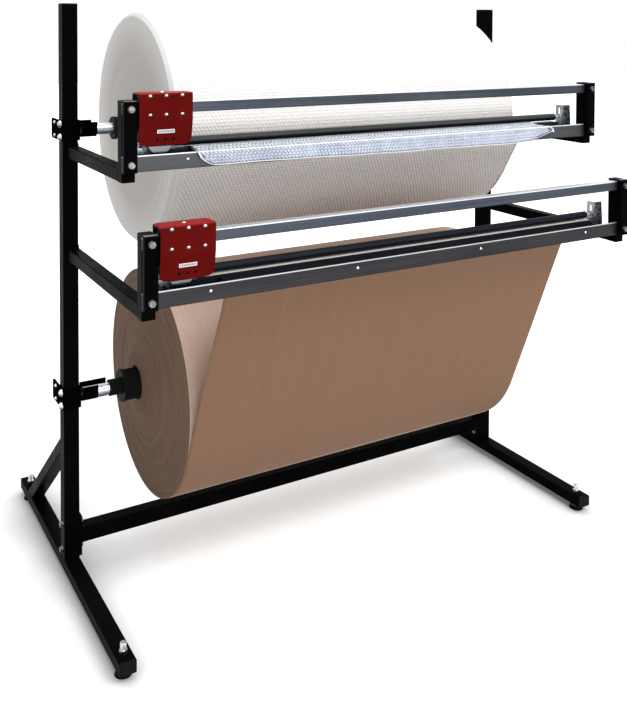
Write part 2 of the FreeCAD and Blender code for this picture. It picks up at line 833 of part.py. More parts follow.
def roller_places():
    return [carriage_centre - roller_pitch / 2, carriage_centre + roller_pitch / 2]


def carriage_body(unit):
    """The block behind the cover: a tunnel for the rail, roller pockets and a knife nose."""
    half = cover_width / 2 - body_side_inset
    x0, x1 = carriage_centre - half, carriage_centre + half
    y0, y1 = unit.cover_front + cover_thickness, unit.cover_back
    top = unit.cover_top - cover_thickness
    body = profile_x([(cover_slope(unit, body_floor_rise) + cover_thickness,
                       unit.base + body_floor_rise),
                      (y0, unit.base + cover_bend_rise), (y0, top), (y1, top),
                      (y1, unit.base + body_floor_rise)], x0, x1)
    for place, radius in (((y0, unit.base + cover_bend_rise), cover_lean_bend_radius),
                          ((y0, top), cover_bend_radius)):
        body = body.makeFillet(radius + cover_bend_gap, edges_at(body, [place]))
    nose_half = body_nose_width / 2
    nose_front = cover_slope(unit, body_nose_rise) + cover_thickness
    nose = box(carriage_centre - nose_half, carriage_centre + nose_half, nose_front, y1,
               unit.base + body_nose_rise, unit.base + body_floor_rise)
    body = joined(body, [nose])
    roof = unit.roller_z + roller_flange_radius + guide_clearance
    tunnel = box(x0, x1, unit.face - guide_clearance, unit.rail_back + guide_clearance,
                 unit.rail_low - guide_clearance, roof)
    body = body.cut(tunnel)
    for x in roller_places():
        pocket_half = roller_flange_radius + guide_clearance
        pocket = box(x - pocket_half, x + pocket_half, unit.roller_front - guide_clearance,
                     unit.roller_back + guide_clearance,
                     unit.roller_z - pocket_half, roof)
        body = body.cut(pocket)
        body = body.cut(rod_y(y0, y1, x, unit.roller_z, roller_axle_radius))
    pocket_half = knife_hub_length / 2 + guide_clearance
    well = knife_radius + guide_clearance
    body = body.cut(box(carriage_centre - well, carriage_centre + well,
                        unit.knife_y - pocket_half, unit.knife_y + pocket_half,
                        unit.base + body_nose_rise, unit.knife_z + well))
    body = body.cut(rod_y(nose_front, y1, carriage_centre, unit.knife_z, knife_axle_radius))
    body = body.cut(guard_recess(unit))
    for i in (-1, 0, 1):
        for rise in (cover_screw_high_rise, cover_screw_low_rise):
            body = body.cut(rod_y(y0, unit.cover_front + cover_screw_length,
                                  carriage_centre + i * cover_screw_pitch, unit.base + rise,
                                  cover_screw_radius))
    return body.cut(rod_z(roof, top, carriage_centre, top_screw_y(unit), cover_screw_radius))


def guard_front(unit):
    return unit.cover_back - guard_thickness


def guard_recess(unit):
    """The pocket in the back of the nose that the guard plate is screwed into."""
    half = guard_width / 2
    return box(carriage_centre - half, carriage_centre + half, guard_front(unit),
               unit.cover_back, unit.base + body_nose_rise, unit.base + guard_top_rise)


def knife_guard(unit):
    """The steel guard plate behind the knife, a little above the sheet."""
    half = guard_width / 2
    return box(carriage_centre - half, carriage_centre + half, guard_front(unit),
               unit.cover_back, unit.base + guard_bottom_rise, unit.base + guard_top_rise)


def carriage_screws(unit):
    screws = []
    for i in (-1, 0, 1):
        for rise in (cover_screw_high_rise, cover_screw_low_rise):
            base = V(carriage_centre + i * cover_screw_pitch, unit.cover_front,
                     unit.base + rise)
            screws.append(dome_screw(base, V(0, 1, 0), cover_screw_length,
                                     cover_screw_radius, cover_screw_head_radius,
                                     cover_screw_head_height))
    screws.append(dome_screw(V(carriage_centre, top_screw_y(unit), unit.cover_top),
                             V(0, 0, -1), cover_top_screw_length, cover_screw_radius,
                             cover_screw_head_radius, cover_screw_head_height))
    return group(screws)


def carriage_axles(unit):
    """The two roller axles and the knife's axle, pressed into the body."""
    y0, y1 = unit.cover_front + cover_thickness, unit.cover_back
    axles = [rod_y(y0, y1, x, unit.roller_z, roller_axle_radius) for x in roller_places()]
    nose_front = cover_slope(unit, body_nose_rise) + cover_thickness
    axles.append(rod_y(nose_front, guard_front(unit), carriage_centre, unit.knife_z,
                       knife_axle_radius))
    return group(axles)


def roller(unit, x):
    """A flanged roller that runs on the top of the guide rail."""
    y0, y1 = unit.roller_front, unit.roller_back
    wheel = rod_y(y0, y1, x, unit.roller_z, roller_radius)
    front = rod_y(y0, y0 + roller_flange_thickness, x, unit.roller_z, roller_flange_radius)
    back = rod_y(y1 - roller_flange_thickness, y1, x, unit.roller_z, roller_flange_radius)
    wheel = joined(wheel, [front, back])
    return wheel.cut(rod_y(y0, y1, x, unit.roller_z, roller_axle_radius + running_clearance))


def knife(unit):
    """The round knife: a thin disc with a bevelled edge on a short hub."""
    half = knife_thickness / 2
    bevel = Part.makeCone(knife_radius - knife_thickness, knife_radius, half,
                          V(carriage_centre, unit.knife_y - half, unit.knife_z), V(0, 1, 0))
    other = Part.makeCone(knife_radius, knife_radius - knife_thickness, half,
                          V(carriage_centre, unit.knife_y, unit.knife_z), V(0, 1, 0))
    half_hub = knife_hub_length / 2
    y0, y1 = unit.knife_y - half_hub, unit.knife_y + half_hub
    hub = rod_y(y0, y1, carriage_centre, unit.knife_z, knife_hub_radius)
    disc = joined(bevel, [other, hub])
    return disc.cut(rod_y(y0, y1, carriage_centre, unit.knife_z,
                          knife_axle_radius + running_clearance))


# ---------------------------------------------------------------- rolls and shafts
def shaft(height):
    end = inner_face - bracket_plate - shaft_end_gap
    outside = rod_x(-end, end, shaft_y, height, shaft_radius)
    return outside.cut(rod_x(-end, end, shaft_y, height, shaft_radius - shaft_wall))


def core(length, height):
    half = length / 2
    outside = rod_x(-half, half, shaft_y, height, core_inner_radius + core_wall)
    return outside.cut(rod_x(-half, half, shaft_y, height, core_inner_radius))


def kraft_roll():
    """The wound paper. Its outer windings have slipped along the core, so its ends are cones."""
    half, hole = kraft_width / 2, core_inner_radius + core_wall
    slips = [(hole, kraft_core_slip), (kraft_middle_radius, kraft_middle_slip),
             (kraft_radius, kraft_rim_slip)]
    corners = [V(slip - half, shaft_y, lower_shaft_height + radius) for radius, slip in slips]
    corners += [V(slip + half, shaft_y, lower_shaft_height + radius)
                for radius, slip in reversed(slips)]
    section = Part.Face(Part.makePolygon(corners + corners[:1]))
    return section.revolve(V(0, shaft_y, lower_shaft_height), V(1, 0, 0), 360)


def bubble_roll():
    """The wound film. A few of its many rows of bubbles stand for all of them."""
    half = bubble_length / 2
    solid = rod_x(-half, half, shaft_y, upper_shaft_height, bubble_radius - film_row_height)
    reach = bubble_radius - film_row_radius
    rows = []
    for i in range(film_rows_shown):
        angle = 2 * math.pi * i / film_rows_shown
        rows.append(rod_x(-half, half, shaft_y + reach * math.cos(angle),
                          upper_shaft_height + reach * math.sin(angle), film_row_radius))
    solid = joined(solid, rows)
    return solid.cut(rod_x(-half, half, shaft_y, upper_shaft_height,
                           core_inner_radius + core_wall))


def chuck(length, height):
    """The left chuck: a flange, a ribbed body, a stop against the core and a plug inside it."""
    end = -length / 2
    start = end - chuck_body_length
    body_radius = chuck_body_radii[height]
    flange = rod_x(start - chuck_flange_thickness, start, shaft_y, height,
                   chuck_flange_radii[height])
    body = rod_x(start, end, shaft_y, height, body_radius)
    stop = rod_x(end - chuck_stop_thickness, end, shaft_y, height, chuck_stop_radius)
    plug_radius = core_inner_radius - plug_clearance
    plug = Part.makeCone(plug_radius, plug_radius - chuck_plug_taper, chuck_plug_length,
                         V(end, shaft_y, height), V(1, 0, 0))
    ribs = []
    for i in range(chuck_rib_count):
        angle = 2 * math.pi * i / chuck_rib_count
        y = shaft_y + body_radius * math.cos(angle)
        z = height + body_radius * math.sin(angle)
        ribs.append(rod_x(start, end, y, z, chuck_rib_radius))
    solid = joined(flange, [body, stop, plug] + ribs)
    return solid.cut(rod_x(start - chuck_flange_thickness, end + chuck_plug_length, shaft_y,
                           height, shaft_radius + thread_clearance))


def chucks(length, height):
    part = chuck(length, height)
    return group([part, mirrored(part)])


def collars(length, height):
    """A clamping collar on the shaft outside each chuck."""
    start = -length / 2 - chuck_body_length - chuck_flange_thickness
    ring = rod_x(start - collar_length, start, shaft_y, height, collar_radius)
    ring = ring.cut(rod_x(start - collar_length, start, shaft_y, height,
                          shaft_radius + thread_clearance))
    return group([ring, mirrored(ring)])


def mandrel_bracket(height):
    """The left bracket: a clamp around the upright and an open cradle for the shaft."""
    z0 = height - bracket_drops[height] - bracket_height / 2
    z1 = z0 + bracket_height
    rear = back_y + bracket_rear_reach
    web_front = front_y - bracket_plate
    outer = box(-half_width - bracket_plate, -half_width, web_front, rear, z0, z1)
    web = box(-half_width, -inner_face, web_front, front_y, z0, z1)
    inner = box(-inner_face, -inner_face + bracket_plate, web_front, rear, z0, z1)
    for edge_z, inward in ((z0, 1), (z1, -1)):
        waste = corner_waste(rear, edge_z, inward)
        outer = outer.cut(waste)
        inner = inner.cut(waste)
    body = joined(web, [outer, inner, cradle(height)])
    for z in small_bolt_heights(height):
        body = body.cut(rod_x(-half_width - bracket_plate, -inner_face + bracket_plate,
                              small_bolt_y(), z, bracket_small_bolt_radius + hole_clearance))
    for z in big_bolt_heights(height):
        body = body.cut(rod_x(-half_width - bracket_plate, -half_width, big_bolt_y(), z,
                              bracket_big_bolt_radius + thread_clearance))
    return body


def corner_waste(rear, edge_z, inward):
    """What a rounded rear corner takes away from the bracket's two plates."""
    radius = bracket_corner_radius
    x0, x1 = -half_width - bracket_plate, -inner_face + bracket_plate
    z = sorted((edge_z, edge_z + inward * radius))
    block = box(x0, x1, rear - radius, rear, z[0], z[1])
    return block.cut(rod_x(x0, x1, rear - radius, edge_z + inward * radius, radius))


def small_bolt_y():
    return back_y + bracket_rear_reach - bracket_small_bolt_inset


def big_bolt_y():
    return front_y + bracket_big_bolt_setback


def small_bolt_heights(height):
    middle = height - bracket_drops[height]
    half = bracket_small_bolt_spacing / 2
    return [middle - half, middle + half]


def big_bolt_heights(height):
    middle = height - bracket_drops[height]
    half = bracket_big_bolt_spacing / 2
    return [middle - half, middle + half]


def cradle(height):
    """An open trough for the end of the shaft, with a higher wall behind it."""
    start = -inner_face + bracket_plate
    inner = shaft_radius + running_clearance
    outer = inner + cradle_wall
    front_end = start + cradle_front_length
    rear_end = start + cradle_rear_lengths[height]

    def half_trough(end, side, rise):
        low = rod_x(start, end, shaft_y, height, outer)
        y = sorted((shaft_y, shaft_y + side * outer))
        low = low.common(box(start, end, y[0], y[1], height - outer, height))
        wall_y = sorted((shaft_y + side * inner, shaft_y + side * outer))
        wall = box(start, end, wall_y[0], wall_y[1], height, height + rise)
        return low.fuse(wall)

    trough = joined(half_trough(front_end, -1, cradle_front_rise),
                    [half_trough(rear_end, 1, cradle_rear_rise)])
    return trough.cut(rod_x(start, max(front_end, rear_end), shaft_y, height, inner))


def mandrel_brackets():
    parts = [mandrel_bracket(height) for height in (upper_shaft_height, lower_shaft_height)]
    return group(parts + [mirrored(part) for part in parts])


def bracket_bolts():
    """The set bolts against the uprights and the through bolts behind them."""
    solids = []
    plate_face = -half_width - bracket_plate
    grip = tube_side + 2 * bracket_plate
    for height in (upper_shaft_height, lower_shaft_height):
        for z in big_bolt_heights(height):
            solids.append(dome_screw(V(plate_face, big_bolt_y(), z), V(1, 0, 0),
                                     bracket_plate, bracket_big_bolt_radius,
                                     bracket_big_bolt_head_radius,
                                     bracket_big_bolt_head_height))
        for z in small_bolt_heights(height):
            solids.append(dome_screw(V(plate_face, small_bolt_y(), z), V(1, 0, 0),
                                     grip + nut_height, bracket_small_bolt_radius,
                                     bracket_small_bolt_head_radius,
                                     bracket_small_bolt_head_height))
            solids.append(nut(V(plate_face + grip, small_bolt_y(), z), V(1, 0, 0),
                              nut_height, bracket_small_bolt_head_radius * 2,
                              bracket_small_bolt_radius))
    return group(solids + [mirrored(part) for part in solids])


# ---------------------------------------------------------------- sheets
def ribbon(points, radius, thickness, length):
    """A sheet of constant thickness along a path in Y and Z, bent with one inner radius."""
    bend = radius + thickness / 2
    places = [V(0, y, z) for y, z in points]
    sides = {1: [], -1: []}
    last = {1: None, -1: None}

    def left(direction):
        return V(0, -direction.z, direction.y)

    def corner(side, place, direction):
        return place + left(direction) * (side * thickness / 2)

    first_direction = (places[1] - places[0]).normalize()
    for side in sides:
        last[side] = corner(side, places[0], first_direction)
    for before, here, after in zip(places, places[1:], places[2:]):
        way_in = (here - before).normalize()
        way_out = (after - here).normalize()
        turn = way_in.getAngle(way_out)
        inward = 1 if left(way_in).dot(way_out) > 0 else -1
        cut = bend * math.tan(turn / 2)
        start, end = here - way_in * cut, here + way_out * cut
        centre = start + left(way_in) * (inward * bend)
        middle = (here - centre).normalize()
        for side in sides:
            reach = bend - inward * side * thickness / 2
            a, b = corner(side, start, way_in), corner(side, end, way_out)
            sides[side].append(Part.makeLine(last[side], a))
            sides[side].append(Part.Arc(a, centre + middle * reach, b).toShape())
            last[side] = b
    final_direction = (places[-1] - places[-2]).normalize()
    ends = {}
    for side in sides:
        ends[side] = corner(side, places[-1], final_direction)
        sides[side].append(Part.makeLine(last[side], ends[side]))
    cap = Part.makeLine(ends[1], ends[-1])
    base = Part.makeLine(corner(-1, places[0], first_direction),
                         corner(1, places[0], first_direction))
    wire = Part.Wire(sides[1] + [cap] + sides[-1][::-1] + [base])
    sheet = Part.Face(wire).extrude(V(length, 0, 0))
    sheet.translate(V(-length / 2, 0, 0))
    return sheet


def tangent_point(radius, height, target):
    """Where a line from target touches, from below, a circle around the shaft."""
    dy, dz = target[0] - shaft_y, target[1] - height
    distance = math.hypot(dy, dz)
    angle = math.atan2(dz, dy) + math.acos(radius / distance)
    return shaft_y + radius * math.cos(angle), height + radius * math.sin(angle)


def web_path(unit, radius, height):
    """The sheet's middle line: off the roll and up behind the channel to the anvil."""
    half = unit.web / 2
    rise = (unit.channel_back + web_lead_gap + half, unit.anvil_top + soft_gap + half)
    touch = tangent_point(radius + soft_gap + half, height, rise)
    return [touch, rise]


def kraft_web():
    """The paper ends under the clamp bar."""
    unit = lower
    touch, rise = web_path(unit, kraft_radius, lower_shaft_height)
    edge = (unit.anvil_front + kraft_edge_setback, rise[1])
    sheet = ribbon([touch, rise, edge], web_bend_radius, unit.web, kraft_width)
    sheet.translate(V(kraft_rim_slip, 0, 0))
    return sheet


def bubble_web():
    """The film up to the knife groove, and the cut end that hangs over the channel's lip."""
    unit = upper
    low = unit.channel_top + soft_gap + unit.web / 2
    edge = (unit.knife_y + kerf_width / 2, low)
    touch, rise = web_path(unit, bubble_radius, upper_shaft_height)
    shoulder = (unit.anvil_front - web_bend_radius, rise[1])
    step = (shoulder[0] - web_bend_radius, low)
    sheet = ribbon([touch, rise, shoulder, step, edge], web_bend_radius, unit.web, bubble_length)
    hang = unit.face - channel_screw_head_height - soft_gap - unit.web / 2
    start = (unit.knife_y - kerf_width / 2, low)
    flap = ribbon([start, (hang, low), (hang, unit.channel_top - flap_drop)], soft_gap,
                  unit.web, bubble_length)
    return group([sheet, flap])


# ---------------------------------------------------------------- all the nodes
def nodes():
    parts = {
        "left_upright": upright(),
        "right_upright": mirrored(upright()),
        "left_foot": foot(),
        "right_foot": mirrored(foot()),
        "rear_braces": group([brace(), mirrored(brace())]),
        "cross_rail": cross_rail(),
        "frame_bolts": frame_bolts(),
        "tube_end_caps": tube_end_caps(),
        "leveller_nuts": leveller_nuts(),
        "end_brackets": end_brackets(),
        "end_bolts": end_bolts(),
        "knife_strips": knife_strips(),
        "anvil_strips": anvil_strips(),
        "channel_screws": channel_screws(),
        "bar_ears": bar_ears(),
        "mandrel_brackets": mandrel_brackets(),
        "bracket_bolts": bracket_bolts(),
        "kraft_shaft": shaft(lower_shaft_height),
        "kraft_core": core(kraft_length, lower_shaft_height),
        "kraft_roll": kraft_roll(),
        "kraft_chucks": chucks(kraft_length, lower_shaft_height),
        "kraft_collars": collars(kraft_length, lower_shaft_height),
        "kraft_web": kraft_web(),
        "bubble_shaft": shaft(upper_shaft_height),
        "bubble_core": core(bubble_length, upper_shaft_height),
        "bubble_roll": bubble_roll(),
        "bubble_chucks": chucks(bubble_length, upper_shaft_height),
        "bubble_web": bubble_web(),
    }
    for place, y in zip(("front", "rear"), leveller_places()):
        parts[place + "_left_leveller"] = leveller(y)
        parts[place + "_right_leveller"] = mirrored(leveller(y))
    for unit in (upper, lower):
        name = unit.name
        parts[name + "_left_arm"] = arm(unit)
        parts[name + "_right_arm"] = mirrored(arm(unit))
        parts[name + "_channel"] = channel(unit)
        parts[name + "_guide_rail"] = guide_rail(unit)
        parts[name + "_clamp_bar"] = clamp_bar(unit)
        parts[name + "_carriage_cover"] = carriage_cover(unit)
        parts[name + "_carriage_body"] = carriage_body(unit)
        parts[name + "_carriage_screws"] = carriage_screws(unit)
        parts[name + "_carriage_axles"] = carriage_axles(unit)
        parts[name + "_name_plate"] = name_plate(unit)
        parts[name + "_knife"] = knife(unit)
        parts[name + "_knife_guard"] = knife_guard(unit)
        for side, x in zip(("left", "right"), roller_places()):
            parts[name + "_" + side + "_roller"] = roller(unit, x)
    return parts


os.makedirs("parts", exist_ok=True)
for node, shape in nodes().items():
    shape.exportStep("parts/" + node + ".step")
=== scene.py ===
# %% [markdown]
# # A roll stand with two sliding knives
# The stand carries bubble film above and kraft paper below. Its tubes, rails, bolts and
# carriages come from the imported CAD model. This lesson gives every one of them a finish, and
# models what CAD leaves plain: the wound rolls, the bubbles and the sheets that leave the rolls.

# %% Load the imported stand
import math
import random

import bmesh
import bpy
import numpy as np
from mathutils import Matrix, Vector


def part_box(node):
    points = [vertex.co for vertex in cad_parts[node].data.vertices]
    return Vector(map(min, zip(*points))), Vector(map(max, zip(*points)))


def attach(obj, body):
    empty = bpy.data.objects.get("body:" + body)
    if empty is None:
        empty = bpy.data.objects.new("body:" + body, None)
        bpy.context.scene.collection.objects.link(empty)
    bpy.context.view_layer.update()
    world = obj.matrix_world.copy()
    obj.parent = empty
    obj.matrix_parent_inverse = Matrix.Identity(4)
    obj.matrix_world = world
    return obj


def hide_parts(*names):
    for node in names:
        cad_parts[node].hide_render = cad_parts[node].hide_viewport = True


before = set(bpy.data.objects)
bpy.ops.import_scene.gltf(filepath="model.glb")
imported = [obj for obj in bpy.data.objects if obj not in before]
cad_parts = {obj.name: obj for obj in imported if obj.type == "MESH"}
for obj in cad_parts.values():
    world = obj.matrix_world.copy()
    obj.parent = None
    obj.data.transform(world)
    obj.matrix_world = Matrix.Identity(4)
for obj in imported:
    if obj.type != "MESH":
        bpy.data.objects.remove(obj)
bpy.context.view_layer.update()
random.seed(7)
mm = 0.001


def linked(name, data):
    """A new object with that data, in the scene."""
    obj = bpy.data.objects.new(name, data)
    bpy.context.scene.collection.objects.link(obj)
    return obj


# %% [markdown]
# ## The camera
# The stand is seen from its front left, from a little below eye height. A camera that looks down
# makes uprights lean, so this one looks almost level, and its lens is shifted down instead, as
# an architect's is. Its distance is measured from the front face of the left upright.

# %% Camera
upright_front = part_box("left_upright")[0].y
camera_place = Vector((-1.3387, upright_front - 2.3335, 1.4389))
camera_turn = math.radians(-30.28)
camera_tilt = math.radians(-1.62)
camera_roll = math.radians(0.18)
lens_length = 46.49
lens_drop = -0.4267

camera_data = bpy.data.cameras.new("camera")
camera = linked("camera", camera_data)
camera.location = camera_place
camera.rotation_euler = (
    Matrix.Rotation(camera_turn, 3, "Z")
    @ Matrix.Rotation(math.radians(90) + camera_tilt, 3, "X")
    @ Matrix.Rotation(camera_roll, 3, "Z")
).to_euler()
camera_data.lens = lens_length
camera_data.shift_y = lens_drop
camera_data.clip_end = 50
bpy.context.scene.camera = camera
print("camera at", [round(v, 3) for v in camera.location])

# %% [markdown]
# ## A short way to write materials
# Each finish is a Principled shader fed by a few texture nodes. The helper below adds a node,
# sets its inputs by name and returns it, so that a finish reads as a short list of what its
# surface does. All patterns read Object coordinates, in metres, because every piece lies at the
# origin with its place in its mesh.


# %% Material helpers
class Finish:
    """A material, its Principled shader and short calls that add texture nodes to it."""

    def __init__(self, name, colour, roughness, metallic=0.0):
        self.material = bpy.data.materials.new(name)
        self.material.use_nodes = True
        self.tree = self.material.node_tree
        self.shader = self.tree.nodes["Principled BSDF"]
        self.set(self.shader, "Base Color", (*colour, 1.0))
        self.set(self.shader, "Roughness", roughness)
        self.set(self.shader, "Metallic", metallic)
        self.place = self.add("ShaderNodeTexCoord").outputs["Object"]

    def set(self, node, socket, value):
        if isinstance(value, bpy.types.NodeSocket):
            self.tree.links.new(value, node.inputs[socket])
        else:
            node.inputs[socket].default_value = value

    def add(self, kind, settings=None, **inputs):
        """A new node: settings are its own options, and inputs name its sockets."""
        node = self.tree.nodes.new(kind)
        for key, value in (settings or {}).items():
            setattr(node, key, value)
        for key, value in inputs.items():
            self.set(node, key.replace("_", " "), value)
        return node

    def stretched(self, x, y, z):
        """Coordinates scaled along each axis: a small number draws a pattern out along its axis."""
        node = self.add("ShaderNodeMapping", Vector=self.place, Scale=(x, y, z))
        return node.outputs["Vector"]

    def up(self):
        """How far a face looks up: 1 for a level top, 0 for a wall, -1 for an underside."""
        normal = self.add("ShaderNodeNewGeometry").outputs["Normal"]
        return self.add("ShaderNodeSeparateXYZ", Vector=normal).outputs["Z"]

    def axis(self, letter):
        return self.add("ShaderNodeSeparateXYZ", Vector=self.place).outputs[letter]

    def grain(self, scale, detail, place=None):
        node = self.add("ShaderNodeTexNoise", Vector=place or self.place, Scale=scale, Detail=detail)
        return node.outputs["Fac"]

    def math(self, operation, a, b=0.0):
        node = self.add("ShaderNodeMath", {"operation": operation})
        self.set(node, 0, a)
        self.set(node, 1, b)
        return node.outputs[0]

    def blend(self, a, share, b):
        """Adds two patterns: a by its share, and b by what is left of 1."""
        return self.math("ADD", self.math("MULTIPLY", a, share), self.math("MULTIPLY", b, 1 - share))

    def between(self, fac, low, high, start=0.0, end=1.0):
        """Goes from low to high while fac goes from start to end."""
        node = self.add("ShaderNodeMapRange", Value=fac)
        for socket, value in (("From Min", start), ("From Max", end), ("To Min", low),
                              ("To Max", high)):
            self.set(node, socket, value)
        return node.outputs["Result"]

    def ramp(self, fac, *stops):
        node = self.add("ShaderNodeValToRGB", Fac=fac)
        elements = node.color_ramp.elements
        while len(elements) < len(stops):
            elements.new(0.5)
        for element, (position, colour) in zip(elements, stops):
            element.position = position
            element.color = (*colour, 1.0)
        return node.outputs["Color"]

    def mix(self, fac, a, b):
        """Colour a where fac is 0 and b where it is 1."""
        node = self.add("ShaderNodeMix", {"data_type": "RGBA"})
        self.set(node, 0, fac)
        self.set(node, 6, a if isinstance(a, bpy.types.NodeSocket) else (*a, 1.0))
        self.set(node, 7, b if isinstance(b, bpy.types.NodeSocket) else (*b, 1.0))
        return node.outputs[2]

    def colour(self, socket):
        self.set(self.shader, "Base Color", socket)

    def rough(self, socket):
        self.set(self.shader, "Roughness", socket)

    def relief(self, *layers):
        """Stacks bumps, each given as (height, depth in metres), one on the normal of the last."""
        normal = None
        for height, depth in layers:
            bump = self.add("ShaderNodeBump", Height=height, Distance=depth, Strength=1.0)
            if normal:
                self.set(bump, "Normal", normal)
            normal = bump.outputs["Normal"]
        self.set(self.shader, "Normal", normal)


# %% [markdown]
# ## Powder coat
# The tubes and brackets are steel under a black powder coat. Powder melts into a skin with a
# fine orange peel, so the highlight breaks up a little. Dust settles on faces that look up; on
# the end brackets the same lighter tops are a painted highlight.


# %% Black and red coats
def black_coat(name="black_powder_coat", dark=0.0014, dust_and_top_sheen=0.006, gloss=1.045):
    finish = Finish(name, (dark, dark, dark * 1.1), 0.3)
    cloudy = finish.grain(9.0, 5.0)
    # Faces that look up get lighter: settled dust on most coats, a painted highlight on the end brackets.
    dust_and_sheen_mask = finish.math("MULTIPLY", finish.between(finish.up(), 0.0, 0.5, 0.6, 1.0), cloudy)
    base = finish.ramp(cloudy, (0.3, (dark, dark, dark)), (0.7, (dark * 2, dark * 2, dark * 2.2)))
    finish.colour(finish.mix(dust_and_sheen_mask, base, (dust_and_top_sheen, dust_and_top_sheen, dust_and_top_sheen * 1.1)))
    finish.rough(finish.between(cloudy, 0.26, 0.42, 0.3, 0.7))
    finish.relief((finish.grain(260.0, 2.0), 0.00025), (finish.grain(40.0, 3.0), 0.0002))
    finish.set(finish.shader, "IOR", gloss)
    return finish.material


def red_coat():
    finish = Finish("red_powder_coat", (0.3, 0.01, 0.006), 0.3)
    cloudy = finish.grain(14.0, 4.0)
    base = finish.ramp(cloudy, (0.3, (0.085, 0.0022, 0.0015)), (0.7, (0.115, 0.0035, 0.0025)))
    # Faces that look up are painted a lighter red: a painted highlight.
    painted_top_highlight = finish.between(finish.up(), 0.0, 0.8, 0.4, 1.0)
    finish.colour(finish.mix(painted_top_highlight, base, (0.42, 0.02, 0.022)))
    finish.rough(finish.between(cloudy, 0.28, 0.42, 0.3, 0.7))
    finish.relief((finish.grain(300.0, 2.0), 0.00022), (finish.grain(50.0, 2.0), 0.0002))
    finish.set(finish.shader, "IOR", 1.09)
    return finish.material


# %% [markdown]
# ## Bare metals
# Bolts, shafts and ears are zinc plated: a little cloudy, with a faint blue cast. The rails and
# channels are drawn stock, with fine streaks along their length. The knives are ground steel.
# Small round heads show little of themselves, so zinc paints light and shade by how far a face
# looks up: a head keeps a painted highlight on top and painted shade underneath at any size.


# %% Zinc, rail and blade
def zinc(name, under, middle, light):
    """Plated metal: under is painted shade on undersides, and light a painted highlight on tops."""
    finish = Finish(name, middle, 0.3, 1.0)
    cloudy = finish.grain(60.0, 4.0)
    facing = finish.math("ADD", finish.up(), finish.math("MULTIPLY", cloudy, 0.5))
    painted_light_share = finish.between(facing, 0.0, 1.0, -0.6, 1.1)
    # The ramp paints shade on undersides and a highlight on faces that look up.
    finish.colour(finish.ramp(painted_light_share, (0.2, under), (0.5, middle), (0.75, light)))
    finish.rough(finish.between(finish.grain(180.0, 3.0), 0.2, 0.42, 0.3, 0.7))
    finish.relief((finish.grain(500.0, 2.0), 0.00002))
    return finish.material


def rail_metal(node, dark, light, lip):
    """Drawn stock with streaks along it, a painted highlight on its top in the colour lip, and a painted
    shade line on its lower edge.
    """
    low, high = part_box(node)
    finish = Finish(f"{node}_steel", light, 0.42, 0.9)
    streaks = finish.grain(1.0, 4.0, finish.stretched(3.0, 420.0, 420.0))
    cloudy = finish.grain(5.0, 4.0, finish.stretched(0.8, 3.0, 3.0))
    tone = finish.blend(streaks, 0.6, cloudy)
    base = finish.ramp(tone, (0.3, dark), (0.7, light))
    above = finish.math("SUBTRACT", finish.axis("Z"), low.z)
    # A near-black line along the lower edge: painted shade.
    base = finish.mix(finish.between(above, 0.75, 0.0, 0.0005, 0.0022), base, (0.008, 0.008, 0.01))
    below = finish.math("SUBTRACT", high.z, finish.axis("Z"))
    # Faces that look up and a band along the top edge take a painted highlight.
    bright = finish.math("MAXIMUM", finish.between(finish.up(), 0.0, 1.0, 0.4, 0.9),
                         finish.between(below, 0.9, 0.0, 0.0012, 0.003))
    finish.colour(finish.mix(bright, base, lip))
    finish.rough(finish.between(streaks, 0.34, 0.52, 0.3, 0.7))
    finish.relief((streaks, 0.00015))
    return finish.material


def blade_steel():
    finish = Finish("ground_blade", (0.11, 0.115, 0.125), 0.3, 1.0)
    fine = finish.grain(900.0, 2.0)
    finish.rough(finish.between(fine, 0.14, 0.3, 0.3, 0.7))
    finish.relief((fine, 0.00005))
    return finish.material


def leveller_finish():
    """Zinc plate above, and the black rubber of the pad that stands on the floor."""
    finish = Finish("leveller_finish", (0.56, 0.6, 0.66), 0.35)
    cloudy = finish.grain(60.0, 4.0)
    plated = finish.ramp(cloudy, (0.3, (0.5, 0.54, 0.6)), (0.7, (0.78, 0.81, 0.84)))
    pad = finish.between(finish.axis("Z"), 1.0, 0.0, 0.0105, 0.0115)
    finish.colour(finish.mix(pad, plated, (0.003, 0.003, 0.004)))
    finish.set(finish.shader, "Metallic", finish.math("SUBTRACT", 1.0, pad))
    finish.rough(finish.between(cloudy, 0.25, 0.45, 0.3, 0.7))
    finish.relief((finish.grain(400.0, 2.0), 0.0001))
    finish.set(finish.shader, "IOR", 1.1)
    return finish.material


def name_plate(node):
    """A bare plate: a pale border round a grey field with a faint brushed grain."""
    low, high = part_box(node)
    middle, half = (low + high) / 2, (high - low) / 2
    finish = Finish(f"{node}_metal", (0.5, 0.5, 0.52), 0.4)
    brushed = finish.grain(1.0, 3.0, finish.stretched(20.0, 900.0, 900.0))
    field = finish.ramp(brushed, (0.3, (0.3, 0.31, 0.33)), (0.7, (0.42, 0.43, 0.45)))
    across = finish.math("ABSOLUTE", finish.math("SUBTRACT", finish.axis("X"), middle.x))
    upright = finish.math("ABSOLUTE", finish.math("SUBTRACT", finish.axis("Z"), middle.z))
    border = finish.math("MAXIMUM", finish.math("GREATER_THAN", across, half.x - 1.6 * mm),
                         finish.math("GREATER_THAN", upright, half.z - 1.4 * mm))
    finish.colour(finish.mix(border, field, (0.86, 0.86, 0.86)))
    finish.rough(finish.between(brushed, 0.34, 0.5, 0.3, 0.7))
    finish.relief((brushed, 0.0001))
    finish.set(finish.shader, "IOR", 1.3)
    return finish.material


# %% [markdown]
# ## Plastics, rubber, board and the painted clamp bar
# The caps, chucks and carriage bodies are moulded black plastic with a fine spark texture. The
# strip that holds the knife groove is rubber. The strip under the clamp bar is nylon, cream on
# the lower unit and dark on the upper one, so its finish is chosen by height.


